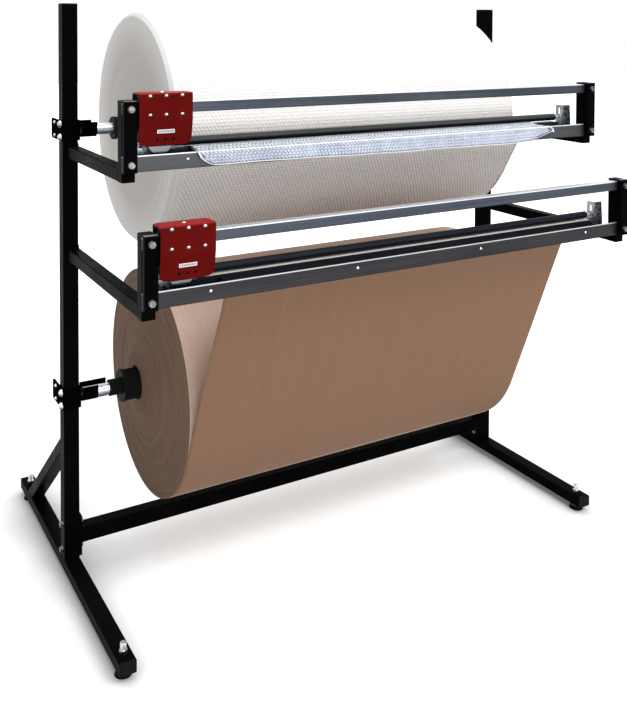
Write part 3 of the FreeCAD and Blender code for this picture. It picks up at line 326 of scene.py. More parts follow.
# %% Plastics and rubber
def black_plastic():
    finish = Finish("moulded_black", (0.01, 0.01, 0.011), 0.45)
    fine = finish.grain(700.0, 3.0)
    finish.colour(finish.ramp(finish.grain(12.0, 4.0), (0.3, (0.0045, 0.005, 0.0045)),
                              (0.7, (0.011, 0.012, 0.01))))
    finish.rough(finish.between(fine, 0.42, 0.62, 0.3, 0.7))
    finish.relief((fine, 0.0002))
    finish.set(finish.shader, "IOR", 1.1)
    return finish.material


def strip_rubber():
    finish = Finish("groove_rubber", (0.012, 0.012, 0.014), 0.6)
    streaks = finish.grain(1.0, 3.0, finish.stretched(6.0, 300.0, 300.0))
    finish.colour(finish.ramp(streaks, (0.3, (0.008, 0.008, 0.01)), (0.7, (0.02, 0.02, 0.024))))
    finish.rough(finish.between(streaks, 0.5, 0.7, 0.3, 0.7))
    finish.relief((streaks, 0.0001))
    finish.set(finish.shader, "IOR", 1.06)
    return finish.material


def cream_nylon(node, top, front):
    """The cream face of the lower strip, from front backwards, and dark nylon everywhere else."""
    finish = Finish(f"{node}_nylon", (0.78, 0.72, 0.58), 0.45)
    cloudy = finish.grain(20.0, 4.0)
    cream = finish.ramp(cloudy, (0.3, (0.95, 0.92, 0.84)), (0.7, (0.98, 0.96, 0.92)))
    dark = finish.ramp(cloudy, (0.3, (0.006, 0.007, 0.014)), (0.7, (0.012, 0.013, 0.024)))
    off_top = finish.math("ABSOLUTE", finish.math("SUBTRACT", finish.axis("Z"), top))
    other = finish.math("MAXIMUM", finish.math("GREATER_THAN", off_top, 0.6 * mm),
                        finish.math("LESS_THAN", finish.axis("Y"), front))
    finish.colour(finish.mix(other, cream, dark))
    finish.relief((finish.grain(400.0, 2.0), 0.0001))
    finish.set(finish.shader, "IOR", 1.3)
    return finish.material


def bar_paint(name, top_sheen_tint, tube_end):
    """Paint on the tube, a painted highlight on top and painted shade below, and bare zinc on the pin and
    washer beyond each end of it.
    """
    finish = Finish(name, (0.03, 0.032, 0.032), 0.3)
    streaks = finish.grain(1.0, 3.0, finish.stretched(4.0, 150.0, 150.0))
    brighter_sheen = tuple(1.6 * part for part in top_sheen_tint)
    painted_top_sheen = finish.ramp(streaks, (0.3, top_sheen_tint), (0.7, brighter_sheen))
    # The upper side takes the tint as a painted highlight, and the underside near-black painted shade.
    painted_bar_light = finish.between(finish.up(), 0.0, 1.0, -0.15, 0.25)
    painted = finish.mix(painted_bar_light, (0.004, 0.004, 0.009), painted_top_sheen)
    out = finish.math("ABSOLUTE", finish.axis("X"))
    finish.colour(finish.mix(finish.math("GREATER_THAN", out, tube_end), painted, (0.6, 0.62, 0.66)))
    finish.rough(finish.between(streaks, 0.3, 0.45, 0.3, 0.7))
    finish.relief((streaks, 0.0001))
    finish.set(finish.shader, "IOR", 1.15)
    return finish.material


def core_board():
    finish = Finish("core_board", (0.36, 0.25, 0.16), 0.85)
    fibres = finish.grain(120.0, 6.0)
    finish.colour(finish.ramp(fibres, (0.3, (0.28, 0.18, 0.11)), (0.7, (0.42, 0.3, 0.2))))
    finish.relief((fibres, 0.0003))
    return finish.material


# %% [markdown]
# ## Kraft paper
# Brown paper has long fibres, a faint machine direction and small darker specks. On the roll's
# end the same paper shows edge on, as thousands of rings. A ring pattern depends only on the
# distance from the roll's axis, so it is worked out from Object coordinates.

# %% Kraft paper
ring_drift = 0.06


def kraft_sheet(name, dark, light):
    """Paper with its fibres and its machine direction along the web, blotches and specks."""
    finish = Finish(name, light, 0.72)
    fibres = finish.grain(1.0, 5.0, finish.stretched(160.0, 30.0, 30.0))
    machine = finish.grain(1.0, 3.0, finish.stretched(110.0, 1.5, 1.5))
    blotches = finish.grain(3.0, 4.0)
    specks = finish.between(finish.grain(420.0, 2.0), 0.0, 0.5, 0.64, 0.74)
    tone = finish.blend(fibres, 0.6, machine)
    base = finish.ramp(tone, (0.32, dark), (0.68, light))
    base = finish.mix(finish.between(blotches, 0.0, 0.3), base, light)
    finish.colour(finish.mix(finish.math("MULTIPLY", specks, 0.5), base, dark))
    finish.rough(finish.between(fibres, 0.6, 0.8, 0.3, 0.7))
    finish.relief((fibres, 0.0001), (machine, 0.00005))
    finish.set(finish.shader, "Specular IOR Level", 0.3)
    return finish.material


def ring_place(finish, axis_y, axis_z, crush):
    """The distance from the roll's axis, in metres, drawn aside a little where layers are loose."""
    split = finish.add("ShaderNodeSeparateXYZ", Vector=finish.place)
    y = finish.math("SUBTRACT", split.outputs["Y"], axis_y)
    z = finish.math("SUBTRACT", split.outputs["Z"], axis_z)
    square = finish.math("ADD", finish.math("MULTIPLY", y, y), finish.math("MULTIPLY", z, z))
    crushed = finish.math("MULTIPLY", finish.math("SUBTRACT", finish.grain(5.0, 2.0), 0.5), crush)
    return finish.math("ADD", finish.math("SQRT", square), crushed)


def ring_noise(finish, radius, per_metre):
    """Noise that changes quickly with the radius and slowly around the roll."""
    rings = finish.add("ShaderNodeCombineXYZ", X=finish.math("MULTIPLY", radius, per_metre))
    drift = finish.add("ShaderNodeMix", {"data_type": "VECTOR"})
    finish.set(drift, 0, ring_drift)
    finish.set(drift, 4, rings.outputs[0])
    finish.set(drift, 5, finish.stretched(60.0, 60.0, 60.0))
    return finish.grain(1.0, 3.0, drift.outputs[1])


def kraft_end(axis_y, axis_z):
    finish = Finish("kraft_roll_end", (0.17, 0.11, 0.07), 0.85)
    radius = ring_place(finish, axis_y, axis_z, 0.05)
    wide = ring_noise(finish, radius, 70.0)
    fine = ring_noise(finish, radius, 900.0)
    tone = finish.blend(wide, 0.35, fine)
    finish.colour(finish.ramp(tone, (0.32, (0.115, 0.062, 0.036)), (0.5, (0.165, 0.094, 0.056)),
                              (0.68, (0.225, 0.135, 0.084))))
    finish.relief((fine, 0.0012), (wide, 0.001))
    return finish.material


# %% [markdown]
# ## Bubble film
# The film is clear polyethylene, but a thick roll of it looks milky, because each layer scatters
# a little light. So the wound roll gets a pale, soft shader, and the single sheet a thinner one
# that lets light through.


# %% Bubble film
def film_skin(name, gap, bubble, lit_gap):
    """Milky film: gap is painted shade on undersides, and lit_gap and bubble its colours on the sides that
    look up.
    """
    finish = Finish(name, bubble, 0.36)
    cloudy = finish.grain(7.0, 4.0)
    wrinkles = finish.grain(1.0, 3.0, finish.stretched(2.0, 60.0, 60.0))
    tone = finish.blend(cloudy, 0.5, wrinkles)
    # Undersides take the darker colour gap: painted shade.
    side = finish.mix(finish.between(finish.up(), 0.0, 1.0, -0.45, 0.1), gap, lit_gap)
    finish.colour(finish.mix(finish.between(tone, 0.0, 0.3, 0.3, 0.7), side, bubble))
    finish.rough(finish.between(finish.grain(90.0, 3.0), 0.2, 0.42, 0.3, 0.7))
    finish.set(finish.shader, "Subsurface Weight", 0.2)
    finish.set(finish.shader, "Subsurface Radius", (0.01, 0.01, 0.01))
    finish.set(finish.shader, "IOR", 1.35)
    return finish.material


def film_end(axis_y, axis_z):
    finish = Finish("film_roll_end", (0.6, 0.57, 0.54), 0.5)
    radius = ring_place(finish, axis_y, axis_z, 0.03)
    wide = ring_noise(finish, radius, 40.0)
    fine = ring_noise(finish, radius, 400.0)
    tone = finish.blend(wide, 0.55, fine)
    base = finish.ramp(tone, (0.3, (0.62, 0.575, 0.535)), (0.7, (0.665, 0.62, 0.58)))
    # Lighter towards the rim: a painted highlight.
    finish.colour(finish.mix(finish.between(radius, 0.0, 0.9, 0.2, 0.305), base, (0.93, 0.92, 0.91)))
    finish.relief((fine, 0.0002), (wide, 0.0002))
    finish.set(finish.shader, "Subsurface Weight", 0.25)
    finish.set(finish.shader, "Subsurface Radius", (0.01, 0.01, 0.01))
    return finish.material


def film_single(name, low, high, clear):
    """One layer of film: clear is the share of light that goes through it."""
    finish = Finish(name, high, 0.22)
    finish.set(finish.shader, "Transmission Weight", clear)
    finish.set(finish.shader, "IOR", 1.3)
    cloudy = finish.grain(25.0, 3.0)
    finish.colour(finish.ramp(cloudy, (0.3, low), (0.7, high)))
    finish.rough(finish.between(finish.grain(120.0, 2.0), 0.12, 0.32, 0.3, 0.7))
    finish.set(finish.shader, "Coat Weight", 0.3)
    return finish.material


# %% [markdown]
# ## Dressing the CAD pieces
# Each CAD node keeps its shape and takes one of the finishes. First every finish that the stand
# needs is made once. The rails and the upper channel share one painted lip highlight, and the
# lower channel is painted darker altogether, as painted shade.

# %% Make the finishes
lip_highlight = (0.85, 0.88, 0.93)
rail_tones = ((0.027, 0.033, 0.044), (0.08, 0.091, 0.114), lip_highlight)
strip_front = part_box("anvil_strips")[0].y + 1 * mm
pin_reach = 36 * mm
strip_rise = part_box("anvil_strips")[1].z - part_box("upper_channel")[1].z
lower_strip_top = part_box("lower_channel")[1].z + strip_rise
tube_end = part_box("lower_clamp_bar")[1].x - pin_reach
finishes = {
    "black": black_coat(),
    "bracket": black_coat("bracket_coat", 0.001, 0.003, 1.004),
    "red": red_coat(),
    # The end brackets' tops go near white: a painted highlight, not dust.
    "end_bracket": black_coat("end_bracket_coat_top_highlight", 0.0012, 1.0, 1.04),
    "zinc": zinc("zinc_plate", (0.12, 0.14, 0.18), (0.5, 0.55, 0.63), (0.88, 0.91, 0.95)),
    "bolt": zinc("bolt_steel", (0.02, 0.02, 0.022), (0.12, 0.125, 0.13), (0.8, 0.8, 0.8)),
    "bright_bolt": zinc("bright_bolt_steel", (0.05, 0.05, 0.055), (0.34, 0.35, 0.36), (0.95, 0.95, 0.95)),
    "guard": zinc("guard_steel", (0.02, 0.02, 0.024), (0.07, 0.075, 0.08), (0.3, 0.31, 0.32)),
    "leveller": leveller_finish(),
    "upper_rail": rail_metal("upper_guide_rail", *rail_tones),
    "lower_rail": rail_metal("lower_guide_rail", *rail_tones),
    "upper_channel": rail_metal("upper_channel", (0.036, 0.037, 0.042), (0.084, 0.086, 0.09),
                                lip_highlight),
    # The lower channel is a darker copy of the upper one: painted shade.
    "lower_channel": rail_metal("lower_channel", (0.016, 0.016, 0.018), (0.042, 0.041, 0.043),
                                (0.6, 0.62, 0.66)),
    "upper_plate": name_plate("upper_name_plate"),
    "lower_plate": name_plate("lower_name_plate"),
    "blade": blade_steel(),
    "plastic": black_plastic(),
    "rubber": strip_rubber(),
    "nylon": cream_nylon("anvil_strips", lower_strip_top, strip_front),
    # Each tint is a bar's painted top highlight: greenish on the upper bar, navy on the lower one.
    "upper_bar": bar_paint("upper_bar_paint", (0.045, 0.05, 0.047), tube_end),
    "lower_bar": bar_paint("lower_bar_paint", (0.014, 0.0155, 0.022), tube_end),
    "board": core_board(),
    "kraft": kraft_sheet("kraft_wound", (0.69, 0.49, 0.385), (0.79, 0.585, 0.48)),
    # The single sheet is painted darker than the wound paper: painted shade from the unit above.
    "kraft_web": kraft_sheet("kraft_single_shaded", (0.212, 0.114, 0.067), (0.248, 0.138, 0.083)),
    "film_gap": film_skin("film_wound", (0.52, 0.465, 0.435), (0.64, 0.59, 0.56), (0.86, 0.845, 0.835)),
    "margin": film_skin("film_margin", (0.8, 0.76, 0.73), (0.8, 0.76, 0.73), (0.85, 0.82, 0.8)),
    "film": film_skin("film_bubbles", (0.84, 0.79, 0.76), (0.88, 0.84, 0.82), (0.9, 0.885, 0.88)),
    "flap": film_single("film_flap", (0.16, 0.19, 0.27), (0.28, 0.32, 0.42), 0.4),
    "flap_bubbles": film_single("film_flap_bubbles", (0.55, 0.6, 0.72), (0.74, 0.79, 0.9), 0.15),
    # Near-white film on free edges and the fold: a painted highlight.
    "edge_highlight": film_single("film_edge_highlight", (0.86, 0.87, 0.9), (0.95, 0.95, 0.97), 0.1),
    # Dark film where the clamp bar's shade falls: painted shade.
    "over_strip": film_single("film_painted_bar_shade", (0.012, 0.014, 0.035), (0.03, 0.035, 0.075), 0.1),
}
print("finishes:", len(finishes))

# %% [markdown]
# Nodes are named for what they are, so a short list of words is enough to pick the finish. The
# first word that a node's name holds decides, and a node that holds none of them is a piece of
# the black frame.

# %% Give every CAD node its finish
finish_words = [
    ("carriage_cover", "red"), ("carriage_body", "plastic"), ("carriage_screws", "bolt"),
    ("carriage_axles", "bolt"), ("upper_name_plate", "upper_plate"), ("lower_name_plate", "lower_plate"),
    ("knife_guard", "guard"), ("knife_strips", "rubber"), ("_knife", "blade"), ("roller", "zinc"),
    ("upper_guide_rail", "upper_rail"), ("lower_guide_rail", "lower_rail"),
    ("channel_screws", "bright_bolt"), ("bracket_bolts", "bright_bolt"),
    ("upper_channel", "upper_channel"), ("lower_channel", "lower_channel"),
    ("upper_clamp_bar", "upper_bar"), ("lower_clamp_bar", "lower_bar"),
    ("bar_ears", "zinc"), ("anvil", "nylon"), ("bolts", "bolt"), ("nuts", "bolt"),
    ("leveller", "leveller"), ("caps", "plastic"), ("chucks", "plastic"), ("collars", "plastic"),
    ("shaft", "zinc"), ("end_brackets", "end_bracket"), ("brackets", "bracket"), ("core", "board"),
    ("kraft", "kraft"), ("bubble", "film_gap"),
]


def finish_for(node):
    for word, finish in finish_words:
        if word in node:
            return finishes[finish]
    return finishes["black"]


for node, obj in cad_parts.items():
    obj.data.materials.clear()
    obj.data.materials.append(finish_for(node))
print("frame pieces in black coat:", sum(finish_for(node) == finishes["black"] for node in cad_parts))


# %% [markdown]
# ## From a bmesh to a piece
# Every new piece is shaped in a bmesh, in its place, and then handed to this function. It joins
# doubled points, makes the faces look outwards, lets the piece ride on its CAD body, and hides
# the CAD nodes that it stands for.

# %% Make a piece from a bmesh
weld_distance = 1e-6
sharp_from = math.radians(40)


def piece(name, bm, finish, body, replaces):
    bmesh.ops.remove_doubles(bm, verts=bm.verts, dist=weld_distance)
    bmesh.ops.recalc_face_normals(bm, faces=bm.faces)
    mesh = bpy.data.meshes.new(name)
    bm.to_mesh(mesh)
    bm.free()
    mesh.materials.append(finish)
    mesh.shade_smooth()
    mesh.set_sharp_from_angle(angle=sharp_from)
    obj = linked(name, mesh)
    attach(obj, body)
    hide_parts(*replaces)
    print(name, len(mesh.polygons), "faces")
    return obj


# %% [markdown]
# ## The wound rolls
# A roll is made by spinning one outline about its axis. The outline of a roll's end isn't
# straight: some layers stand a little proud, so it is a comb of small steps. Afterwards every
# ring is pushed in and out by up to a millimetre as it goes round, because a hand-fed roll winds
# loosely.

# %% Roll outlines
spin_steps = 144
belt_points = 25
end_band = 4 * mm


def roll_sizes(node):
    """A roll's ends, radii and axis, read from the CAD roll and its core."""
    low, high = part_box(node)
    core_low, core_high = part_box(node.replace("roll", "core"))
    return {"left": low.x, "right": high.x, "radius": (high.z - low.z) / 2,
            "inner": (core_high.z - core_low.z) / 2, "y": (low.y + high.y) / 2,
            "z": (low.z + high.z) / 2}


def end_comb(inner, outer, layer, proud):
    """Points (radius, depth) of a roll's end, whose layers stand in by up to proud."""
    points, radius = [], inner
    while radius < outer - layer:
        depth = random.uniform(0.2, 1.0) * random.uniform(0.0, proud)
        points += [(radius, depth), (radius + layer * 0.8, depth * 0.9)]
        radius += layer
    return points


def slack(angle, x, reach):
    """How far a loose winding stands out or in, at an angle about the axis and a place along it."""
    wave = np.sin(2 * angle + 0.7) + 0.6 * np.sin(3 * angle + 4.0 * x) + 0.4 * np.sin(5 * angle - 9.0 * x)
    return 0.5 * reach * wave / 2.0


def wound_roll(name, sizes, body, node, side_finish, end_finish, layer, proud, reach, edge, slip):
    """A roll on its core, in place of its CAD node.

    layer and proud are the thickness of the steps on its ends and how deep they are, reach is the
    slack of the windings, edge the bevel at the rim, and slip(radius) how far a winding of that
    radius has slipped along the roll.
    """
    inner, rim = sizes["inner"], sizes["radius"]
    left = [(r, sizes["left"] + slip(r) + d) for r, d in end_comb(inner, rim - edge, layer, proud)]
    right = [(r, sizes["right"] + slip(r) - d) for r, d in end_comb(inner, rim - edge, layer, proud)]
    first, last = sizes["left"] + slip(rim), sizes["right"] + slip(rim)
    belt = [(rim, x) for x in np.linspace(first + edge, last - edge, belt_points)]
    outline = left + [(rim - edge, first)] + belt + [(rim - edge, last)] + right[::-1]
    bm = bmesh.new()
    verts = [bm.verts.new((x, 0.0, r)) for r, x in outline]
    edges = [bm.edges.new(pair) for pair in zip(verts, verts[1:] + verts[:1])]
    bmesh.ops.spin(bm, geom=verts + edges, cent=(0, 0, 0), axis=(1, 0, 0), angle=math.tau,
                   steps=spin_steps, use_merge=True)
    for vert in bm.verts:
        radius, angle = math.hypot(vert.co.y, vert.co.z), math.atan2(vert.co.z, vert.co.y)
        looseness = max(0.0, (radius - inner) / (rim - inner))
        pushed = radius + float(slack(angle, vert.co.x, reach)) * looseness
        vert.co.y, vert.co.z = pushed * math.cos(angle), pushed * math.sin(angle)
    bmesh.ops.translate(bm, verts=bm.verts, vec=(0, sizes["y"], sizes["z"]))
    roll = piece(name, bm, side_finish, body, (node,))
    roll.data.materials.append(end_finish)
    for polygon in roll.data.polygons:
        radius = math.hypot(polygon.center.y - sizes["y"], polygon.center.z - sizes["z"])
        polygon.material_index = int(radius < rim - edge - end_band or abs(polygon.normal.x) > 0.5)


# %% [markdown]
# The kraft roll's windings have slipped along it, the outer ones most, so its left end is a
# shallow hollow cone and its right end stands out. The shift is read off between three radii.

# %% Sizes of both rolls
bubble_height = 1.5 * mm
core_slip, middle_slip, rim_slip = 1.0 * mm, 20.0 * mm, 32.0 * mm
middle_radius = 150.0 * mm
kraft_low, kraft_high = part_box("kraft_roll")
kraft_left, kraft_right = kraft_low.x - core_slip, kraft_high.x - rim_slip
kraft_sizes = dict(roll_sizes("kraft_roll"), left=kraft_left, right=kraft_right)
bubble_sizes = roll_sizes("bubble_roll")
film_core_sizes = dict(bubble_sizes, radius=bubble_sizes["radius"] - bubble_height)
kraft_slack, film_slack = 1.0 * mm, 1.0 * mm


def kraft_slip(radius):
    stops = (kraft_sizes["inner"], middle_radius, kraft_sizes["radius"])
    return float(np.interp(radius, stops, (core_slip, middle_slip, rim_slip)))


print("kraft roll radius:", round(kraft_sizes["radius"], 4), "film:", round(bubble_sizes["radius"], 4))

# %% [markdown]
# Paper layers lie tight and the roll's rim is sharp. Film layers are thick and soft, so the steps
# of its ends are wider and its rim is bevelled by almost a centimetre. Bubbles stand on it later,
# so the film is wound up to the bubbles' feet only.

# %% Wind both rolls
wound_roll("kraft_roll_wound", kraft_sizes, "kraft_reel", "kraft_roll", finishes["kraft"],
           kraft_end(kraft_sizes["y"], kraft_sizes["z"]), layer=4.0 * mm, proud=1.4 * mm,
           reach=kraft_slack, edge=0.6 * mm, slip=kraft_slip)
wound_roll("bubble_roll_wound", film_core_sizes, "bubble_reel", "bubble_roll", finishes["film_gap"],
           film_end(bubble_sizes["y"], bubble_sizes["z"]), layer=8.0 * mm, proud=0.8 * mm,
           reach=film_slack, edge=9.0 * mm, slip=lambda radius: 0.0)

# %% [markdown]
# ## Bubbles
# The film's bubbles stand in rows, each row shifted by half a bubble. One bubble is a short
# cone with eight sides and an open bottom, and smooth shading rounds it. Two bubbles make the
# repeat, and two Array modifiers lay a flat field of them. The field is flat first, as the film
# was made, and is wrapped afterwards.

# %% A flat field of bubbles
bubble_pitch = 10.0 * mm
bubble_radius = 4.9 * mm
bubble_top = 0.55 * bubble_radius
row_pitch = bubble_pitch * math.sin(math.radians(60))


def bubble_field(columns, row_pairs, height, row=row_pitch):
    """A mesh of bubbles: X along a row, Y across the rows, Z up, first bubble at the origin."""
    bm = bmesh.new()
    for x, y in ((0.0, 0.0), (bubble_pitch / 2, row)):
        bmesh.ops.create_cone(bm, cap_ends=True, cap_tris=False, segments=8, radius1=bubble_radius,
                              radius2=bubble_top, depth=height,
                              matrix=Matrix.Translation((x, y, height / 2)))
    floors = [face for face in bm.faces if face.normal.z < -0.9]
    bmesh.ops.delete(bm, geom=floors, context="FACES_ONLY")
    mesh = bpy.data.meshes.new("bubble_pair")
    bm.to_mesh(mesh)
    bm.free()
    pair = linked("bubble_pair", mesh)
    for count, step in ((columns, (bubble_pitch, 0, 0)), (row_pairs, (0, 2 * row, 0))):
        array = pair.modifiers.new("rows", "ARRAY")
        array.count = count
        array.use_relative_offset = False
        array.use_constant_offset = True
        array.constant_offset_displace = step
    graph = bpy.context.evaluated_depsgraph_get()
    field = bpy.data.meshes.new_from_object(pair.evaluated_get(graph))
    bpy.data.objects.remove(pair)
    return field


def moved(mesh, place):
    """Moves every point of a mesh at once: place takes and gives arrays of X, Y and Z."""
    points = np.empty(len(mesh.vertices) * 3)
    mesh.vertices.foreach_get("co", points)
    x, y, z = place(*points.reshape(-1, 3).T)
    mesh.vertices.foreach_set("co", np.column_stack([x, y, z]).ravel())
    mesh.update()


def bubble_piece(name, mesh, finish, body):
    mesh.name = name
    mesh.materials.clear()
    mesh.materials.append(finish)
    mesh.shade_smooth()
    obj = linked(name, mesh)
    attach(obj, body)
    print(name, len(mesh.polygons), "faces")
    return obj


# %% [markdown]
# The field is wrapped in four shares, so that no piece grows too large. A whole, even number of
# rows goes round the roll, and the shift by half a bubble meets itself again where they close.

# %% Wrap bubbles round the film roll
bubbles_round = 218
round_pitch = math.tau * film_core_sizes["radius"] / bubbles_round
film_width = bubble_sizes["right"] - bubble_sizes["left"]
film_margin, right_margin = 26 * mm, 8 * mm
bubble_columns = int((film_width - film_margin - right_margin) / bubble_pitch)
shares = 4
for share in range(shares):
    first_pair = bubbles_round // 2 * share // shares
    next_pair = bubbles_round // 2 * (share + 1) // shares
    field = bubble_field(bubble_columns, next_pair - first_pair, bubble_height, round_pitch)

    def round_the_roll(x, y, z, start=2 * first_pair):
        angle = (y / round_pitch + start) * math.tau / bubbles_round
        along = film_core_sizes["left"] + film_margin + x
        radius = film_core_sizes["radius"] + z + slack(angle, along, film_slack)
        return (along, film_core_sizes["y"] + radius * np.cos(angle),
                film_core_sizes["z"] + radius * np.sin(angle))

    moved(field, round_the_roll)
    bubble_piece(f"roll_bubbles_{share + 1}", field, finishes["film"], "bubble_reel")

# %% [markdown]
# ## How a sheet runs
# Each sheet leaves the underside of its roll, rises behind its cutter unit, and turns forward
# over the nylon strip. The paper ends under the clamp bar, and the film goes on, down to the
# channel, as far as the knife groove. A run is a line in Y and Z with rounded corners.
# A sheet is a flat grid that is laid along that line: X stays across the stand, and Y of the
# grid becomes the way along the run.

# %% A run with rounded corners
corner_points = 9


class Run:
    """A line in Y and Z, measured along its length, with the direction that is its upper side."""

    def __init__(self, corners, bends):
        corners = [np.array(corner) for corner in corners]
        points = [corners[0]]
        for before, here, after, bend in zip(corners, corners[1:], corners[2:], bends):
            into = here - (here - before) / np.linalg.norm(here - before) * bend
            out = here + (after - here) / np.linalg.norm(after - here) * bend
            for part in np.linspace(0, 1, corner_points):
                points.append((1 - part) ** 2 * into + 2 * part * (1 - part) * here + part ** 2 * out)
        points.append(corners[-1])
        self.points = np.array(points)
        steps = np.diff(self.points, axis=0)
        self.reach = np.concatenate([[0.0], np.cumsum(np.hypot(*steps.T))])
        self.length = float(self.reach[-1])
        ways = np.gradient(self.points, self.reach, axis=0)
        ways /= np.linalg.norm(ways, axis=1)[:, None]
        self.sides = np.column_stack([ways[:, 1], -ways[:, 0]])

    def place(self, along, above):
        """Y and Z of a point that far along the run and above its upper side."""
        y, z, side_y, side_z = (np.interp(along, self.reach, column)
                                for column in (*self.points.T, *self.sides.T))
        return y + side_y * above, z + side_z * above


# %% [markdown]
# The first part of each run hugs the roll's underside and leaves it where the straight way to
# the unit touches the roll. Its other corners are read from the cutter unit's own pieces.

# %% Where the sheets pass
wrap_angle, wrap_steps = math.radians(40), 24
roll_bend, rise_bend, slope_bend = 4 * mm, 9 * mm, 3 * mm
sheet_air, back_air = 0.3 * mm, 1 * mm
strip_thickness, strip_edge = 4 * mm, 44 * mm
groove_half = 1.7 * mm
slope_start, slope_end = 8 * mm, 16 * mm
paper_end = 18 * mm


def off_the_roll(sizes, target, gap, sink):
    """Points that hug a roll's underside, starting sink under its skin, and leave it to target."""
    centre = np.array([sizes["y"], sizes["z"]])
    to_target = np.array(target) - centre
    radius = sizes["radius"] + gap
    leave = math.atan2(to_target[1], to_target[0]) + math.acos(radius / np.linalg.norm(to_target))
    points = []
    for i in range(wrap_steps + 1):
        angle = leave + wrap_angle * (1 - i / wrap_steps)
        hug = radius - sink * max(0.0, 1 - 4 * i / wrap_steps)
        points.append(centre + hug * np.array([math.cos(angle), math.sin(angle)]))
    return points


def unit_sizes(name):
    """Places on a cutter unit that its sheet passes, read from the CAD pieces."""
    channel_low, channel_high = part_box(f"{name}_channel")
    knife_low, knife_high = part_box(f"{name}_knife")
    return {"face": channel_low.y, "back": channel_high.y, "top": channel_high.z,
            "groove": (knife_low.y + knife_high.y) / 2,
            "anvil_top": channel_high.z + strip_thickness, "anvil_front": channel_low.y + strip_edge}


def sheet_run(sizes, unit, thickness, sink, to_groove):
    """The run of a sheet: up from its roll and over the unit to the bar, or on to_groove."""
    half = thickness / 2 + sheet_air
    front = unit["anvil_front"]
    rise = (unit["back"] + back_air + half, unit["anvil_top"] + half)
    low = unit["top"] + half
    corners = off_the_roll(sizes, rise, half, sink)
    bends = [roll_bend] * (len(corners) - 1) + [rise_bend]
    if not to_groove:
        return Run(corners + [rise, (front + paper_end, rise[1])], bends)
    corners += [rise, (front - slope_start, rise[1]), (front - slope_end, low),
                (unit["groove"] + groove_half, low)]
    return Run(corners, bends + [slope_bend, slope_bend])


# %% [markdown]
# A flat grid becomes the sheet: place() bends it along its run, and a Solidify modifier gives it
# the thickness of the real paper or film. Free edges can take a finish of their own, a painted
# highlight brighter than the film.


# %% Lay a grid along a run
def laid_sheet(name, finish, run, left, right, columns, rows, thickness, place, replaces, edge=None,
               crease=0.0):
    """edge is the finish of the sheet's free edges and of the fold at crease, a way along the run."""
    bm = bmesh.new()
    bmesh.ops.create_grid(bm, x_segments=columns, y_segments=rows, size=0.5)
    mesh = bpy.data.meshes.new(name)
    bm.to_mesh(mesh)
    bm.free()
    mesh.materials.append(finish)
    # Free edges and the fold take the edge finish, a painted highlight.
    if edge:
        mesh.materials.append(edge)
        for polygon in mesh.polygons:
            off_crease = abs(polygon.center.y + 0.5 - crease / run.length)
            outer = max(polygon.center.y + 0.5 / rows, abs(polygon.center.x) + 0.5 / columns) > 0.499
            polygon.material_index = int(outer or off_crease < 1.0 / rows)
    moved(mesh, lambda x, y, z: place(left + (right - left) * (x + 0.5), run.length * (y + 0.5), z))
    mesh.shade_smooth()
    obj = linked(name, mesh)
    solid = obj.modifiers.new("thickness", "SOLIDIFY")
    solid.thickness = thickness
    solid.offset = 0.0
    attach(obj, "frame")
    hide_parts(replaces)
    print(name, round(run.length, 3), "m long")
    return obj


# %% [markdown]
# ## The kraft sheet
# Brown paper is stiff, so it hangs almost flat, but not quite: it has long, shallow waves that
# die out where it is held, at the roll and under the clamp bar. It was threaded by hand and leans
# a little to the right on its way up.

# %% Kraft sheet
lower = unit_sizes("lower")
kraft_run = sheet_run(kraft_sizes, lower, thickness=1.2 * mm, sink=2.2 * mm, to_groove=False)
paper_left, paper_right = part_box("kraft_web")[0].x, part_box("kraft_web")[1].x
paper_lean = 23 * mm
held_share = wrap_angle * kraft_sizes["radius"] / kraft_run.length


def paper_place(x, along, above):
    share = along / kraft_run.length
    x = x + paper_lean * np.clip((share - held_share) / (1 - held_share), 0, 1)
    free = np.clip(np.sin(np.clip((share - 0.25) / 0.6, 0, 1) * math.pi), 0, 1)
    wave = 1.1 * np.sin(9.0 * x + 1.4 * share) + 0.6 * np.sin(23.0 * x - 3.0 * share + 1.0)
    y, z = kraft_run.place(along, above + free * wave * mm)
    return x, y, z


kraft_web = laid_sheet("kraft_sheet", finishes["kraft_web"], kraft_run, paper_left, paper_right,
                       columns=96, rows=150, thickness=0.4 * mm, place=paper_place,
                       replaces="kraft_web")

# %% [markdown]
# ## The film sheet
# The film is laid the same way. It looks milky at the roll, is painted dark as painted shade
# where the clamp bar's shade falls, and is clear and bluish on the channel in front of the bar,
# so its faces take their finish from where they end up.

# %% Film sheet
upper = unit_sizes("upper")
film_run = sheet_run(bubble_sizes, upper, thickness=3.0 * mm, sink=0.0, to_groove=True)


def film_place(x, along, above):
    y, z = film_run.place(along, above)
    return x, y, z


film_left, film_right = bubble_sizes["left"], bubble_sizes["right"]
film_web = laid_sheet("film_sheet", finishes["film_gap"], film_run, film_left, film_right,
                      columns=80, rows=150, thickness=0.4 * mm, place=film_place,
                      replaces="bubble_web")
for extra in ("flap", "over_strip", "margin"):
    film_web.data.materials.append(finishes[extra])
clear_index, shade_index, margin_index = 1, 2, 3
shade_back, shade_front = -14 * mm, 14.5 * mm
for polygon in film_web.data.polygons:
    ahead = upper["anvil_front"] - polygon.center.y
    if polygon.center.z > upper["top"] and ahead > shade_back:
        polygon.material_index = clear_index if ahead > shade_front else shade_index
    elif polygon.center.x < film_left + film_margin - 4 * mm:
        polygon.material_index = margin_index

# %% [markdown]
# The bubbles are on the outer side of the roll, and so on the rear side of the rising sheet. The
# level end by the groove gets a short field of its own on its upper side.

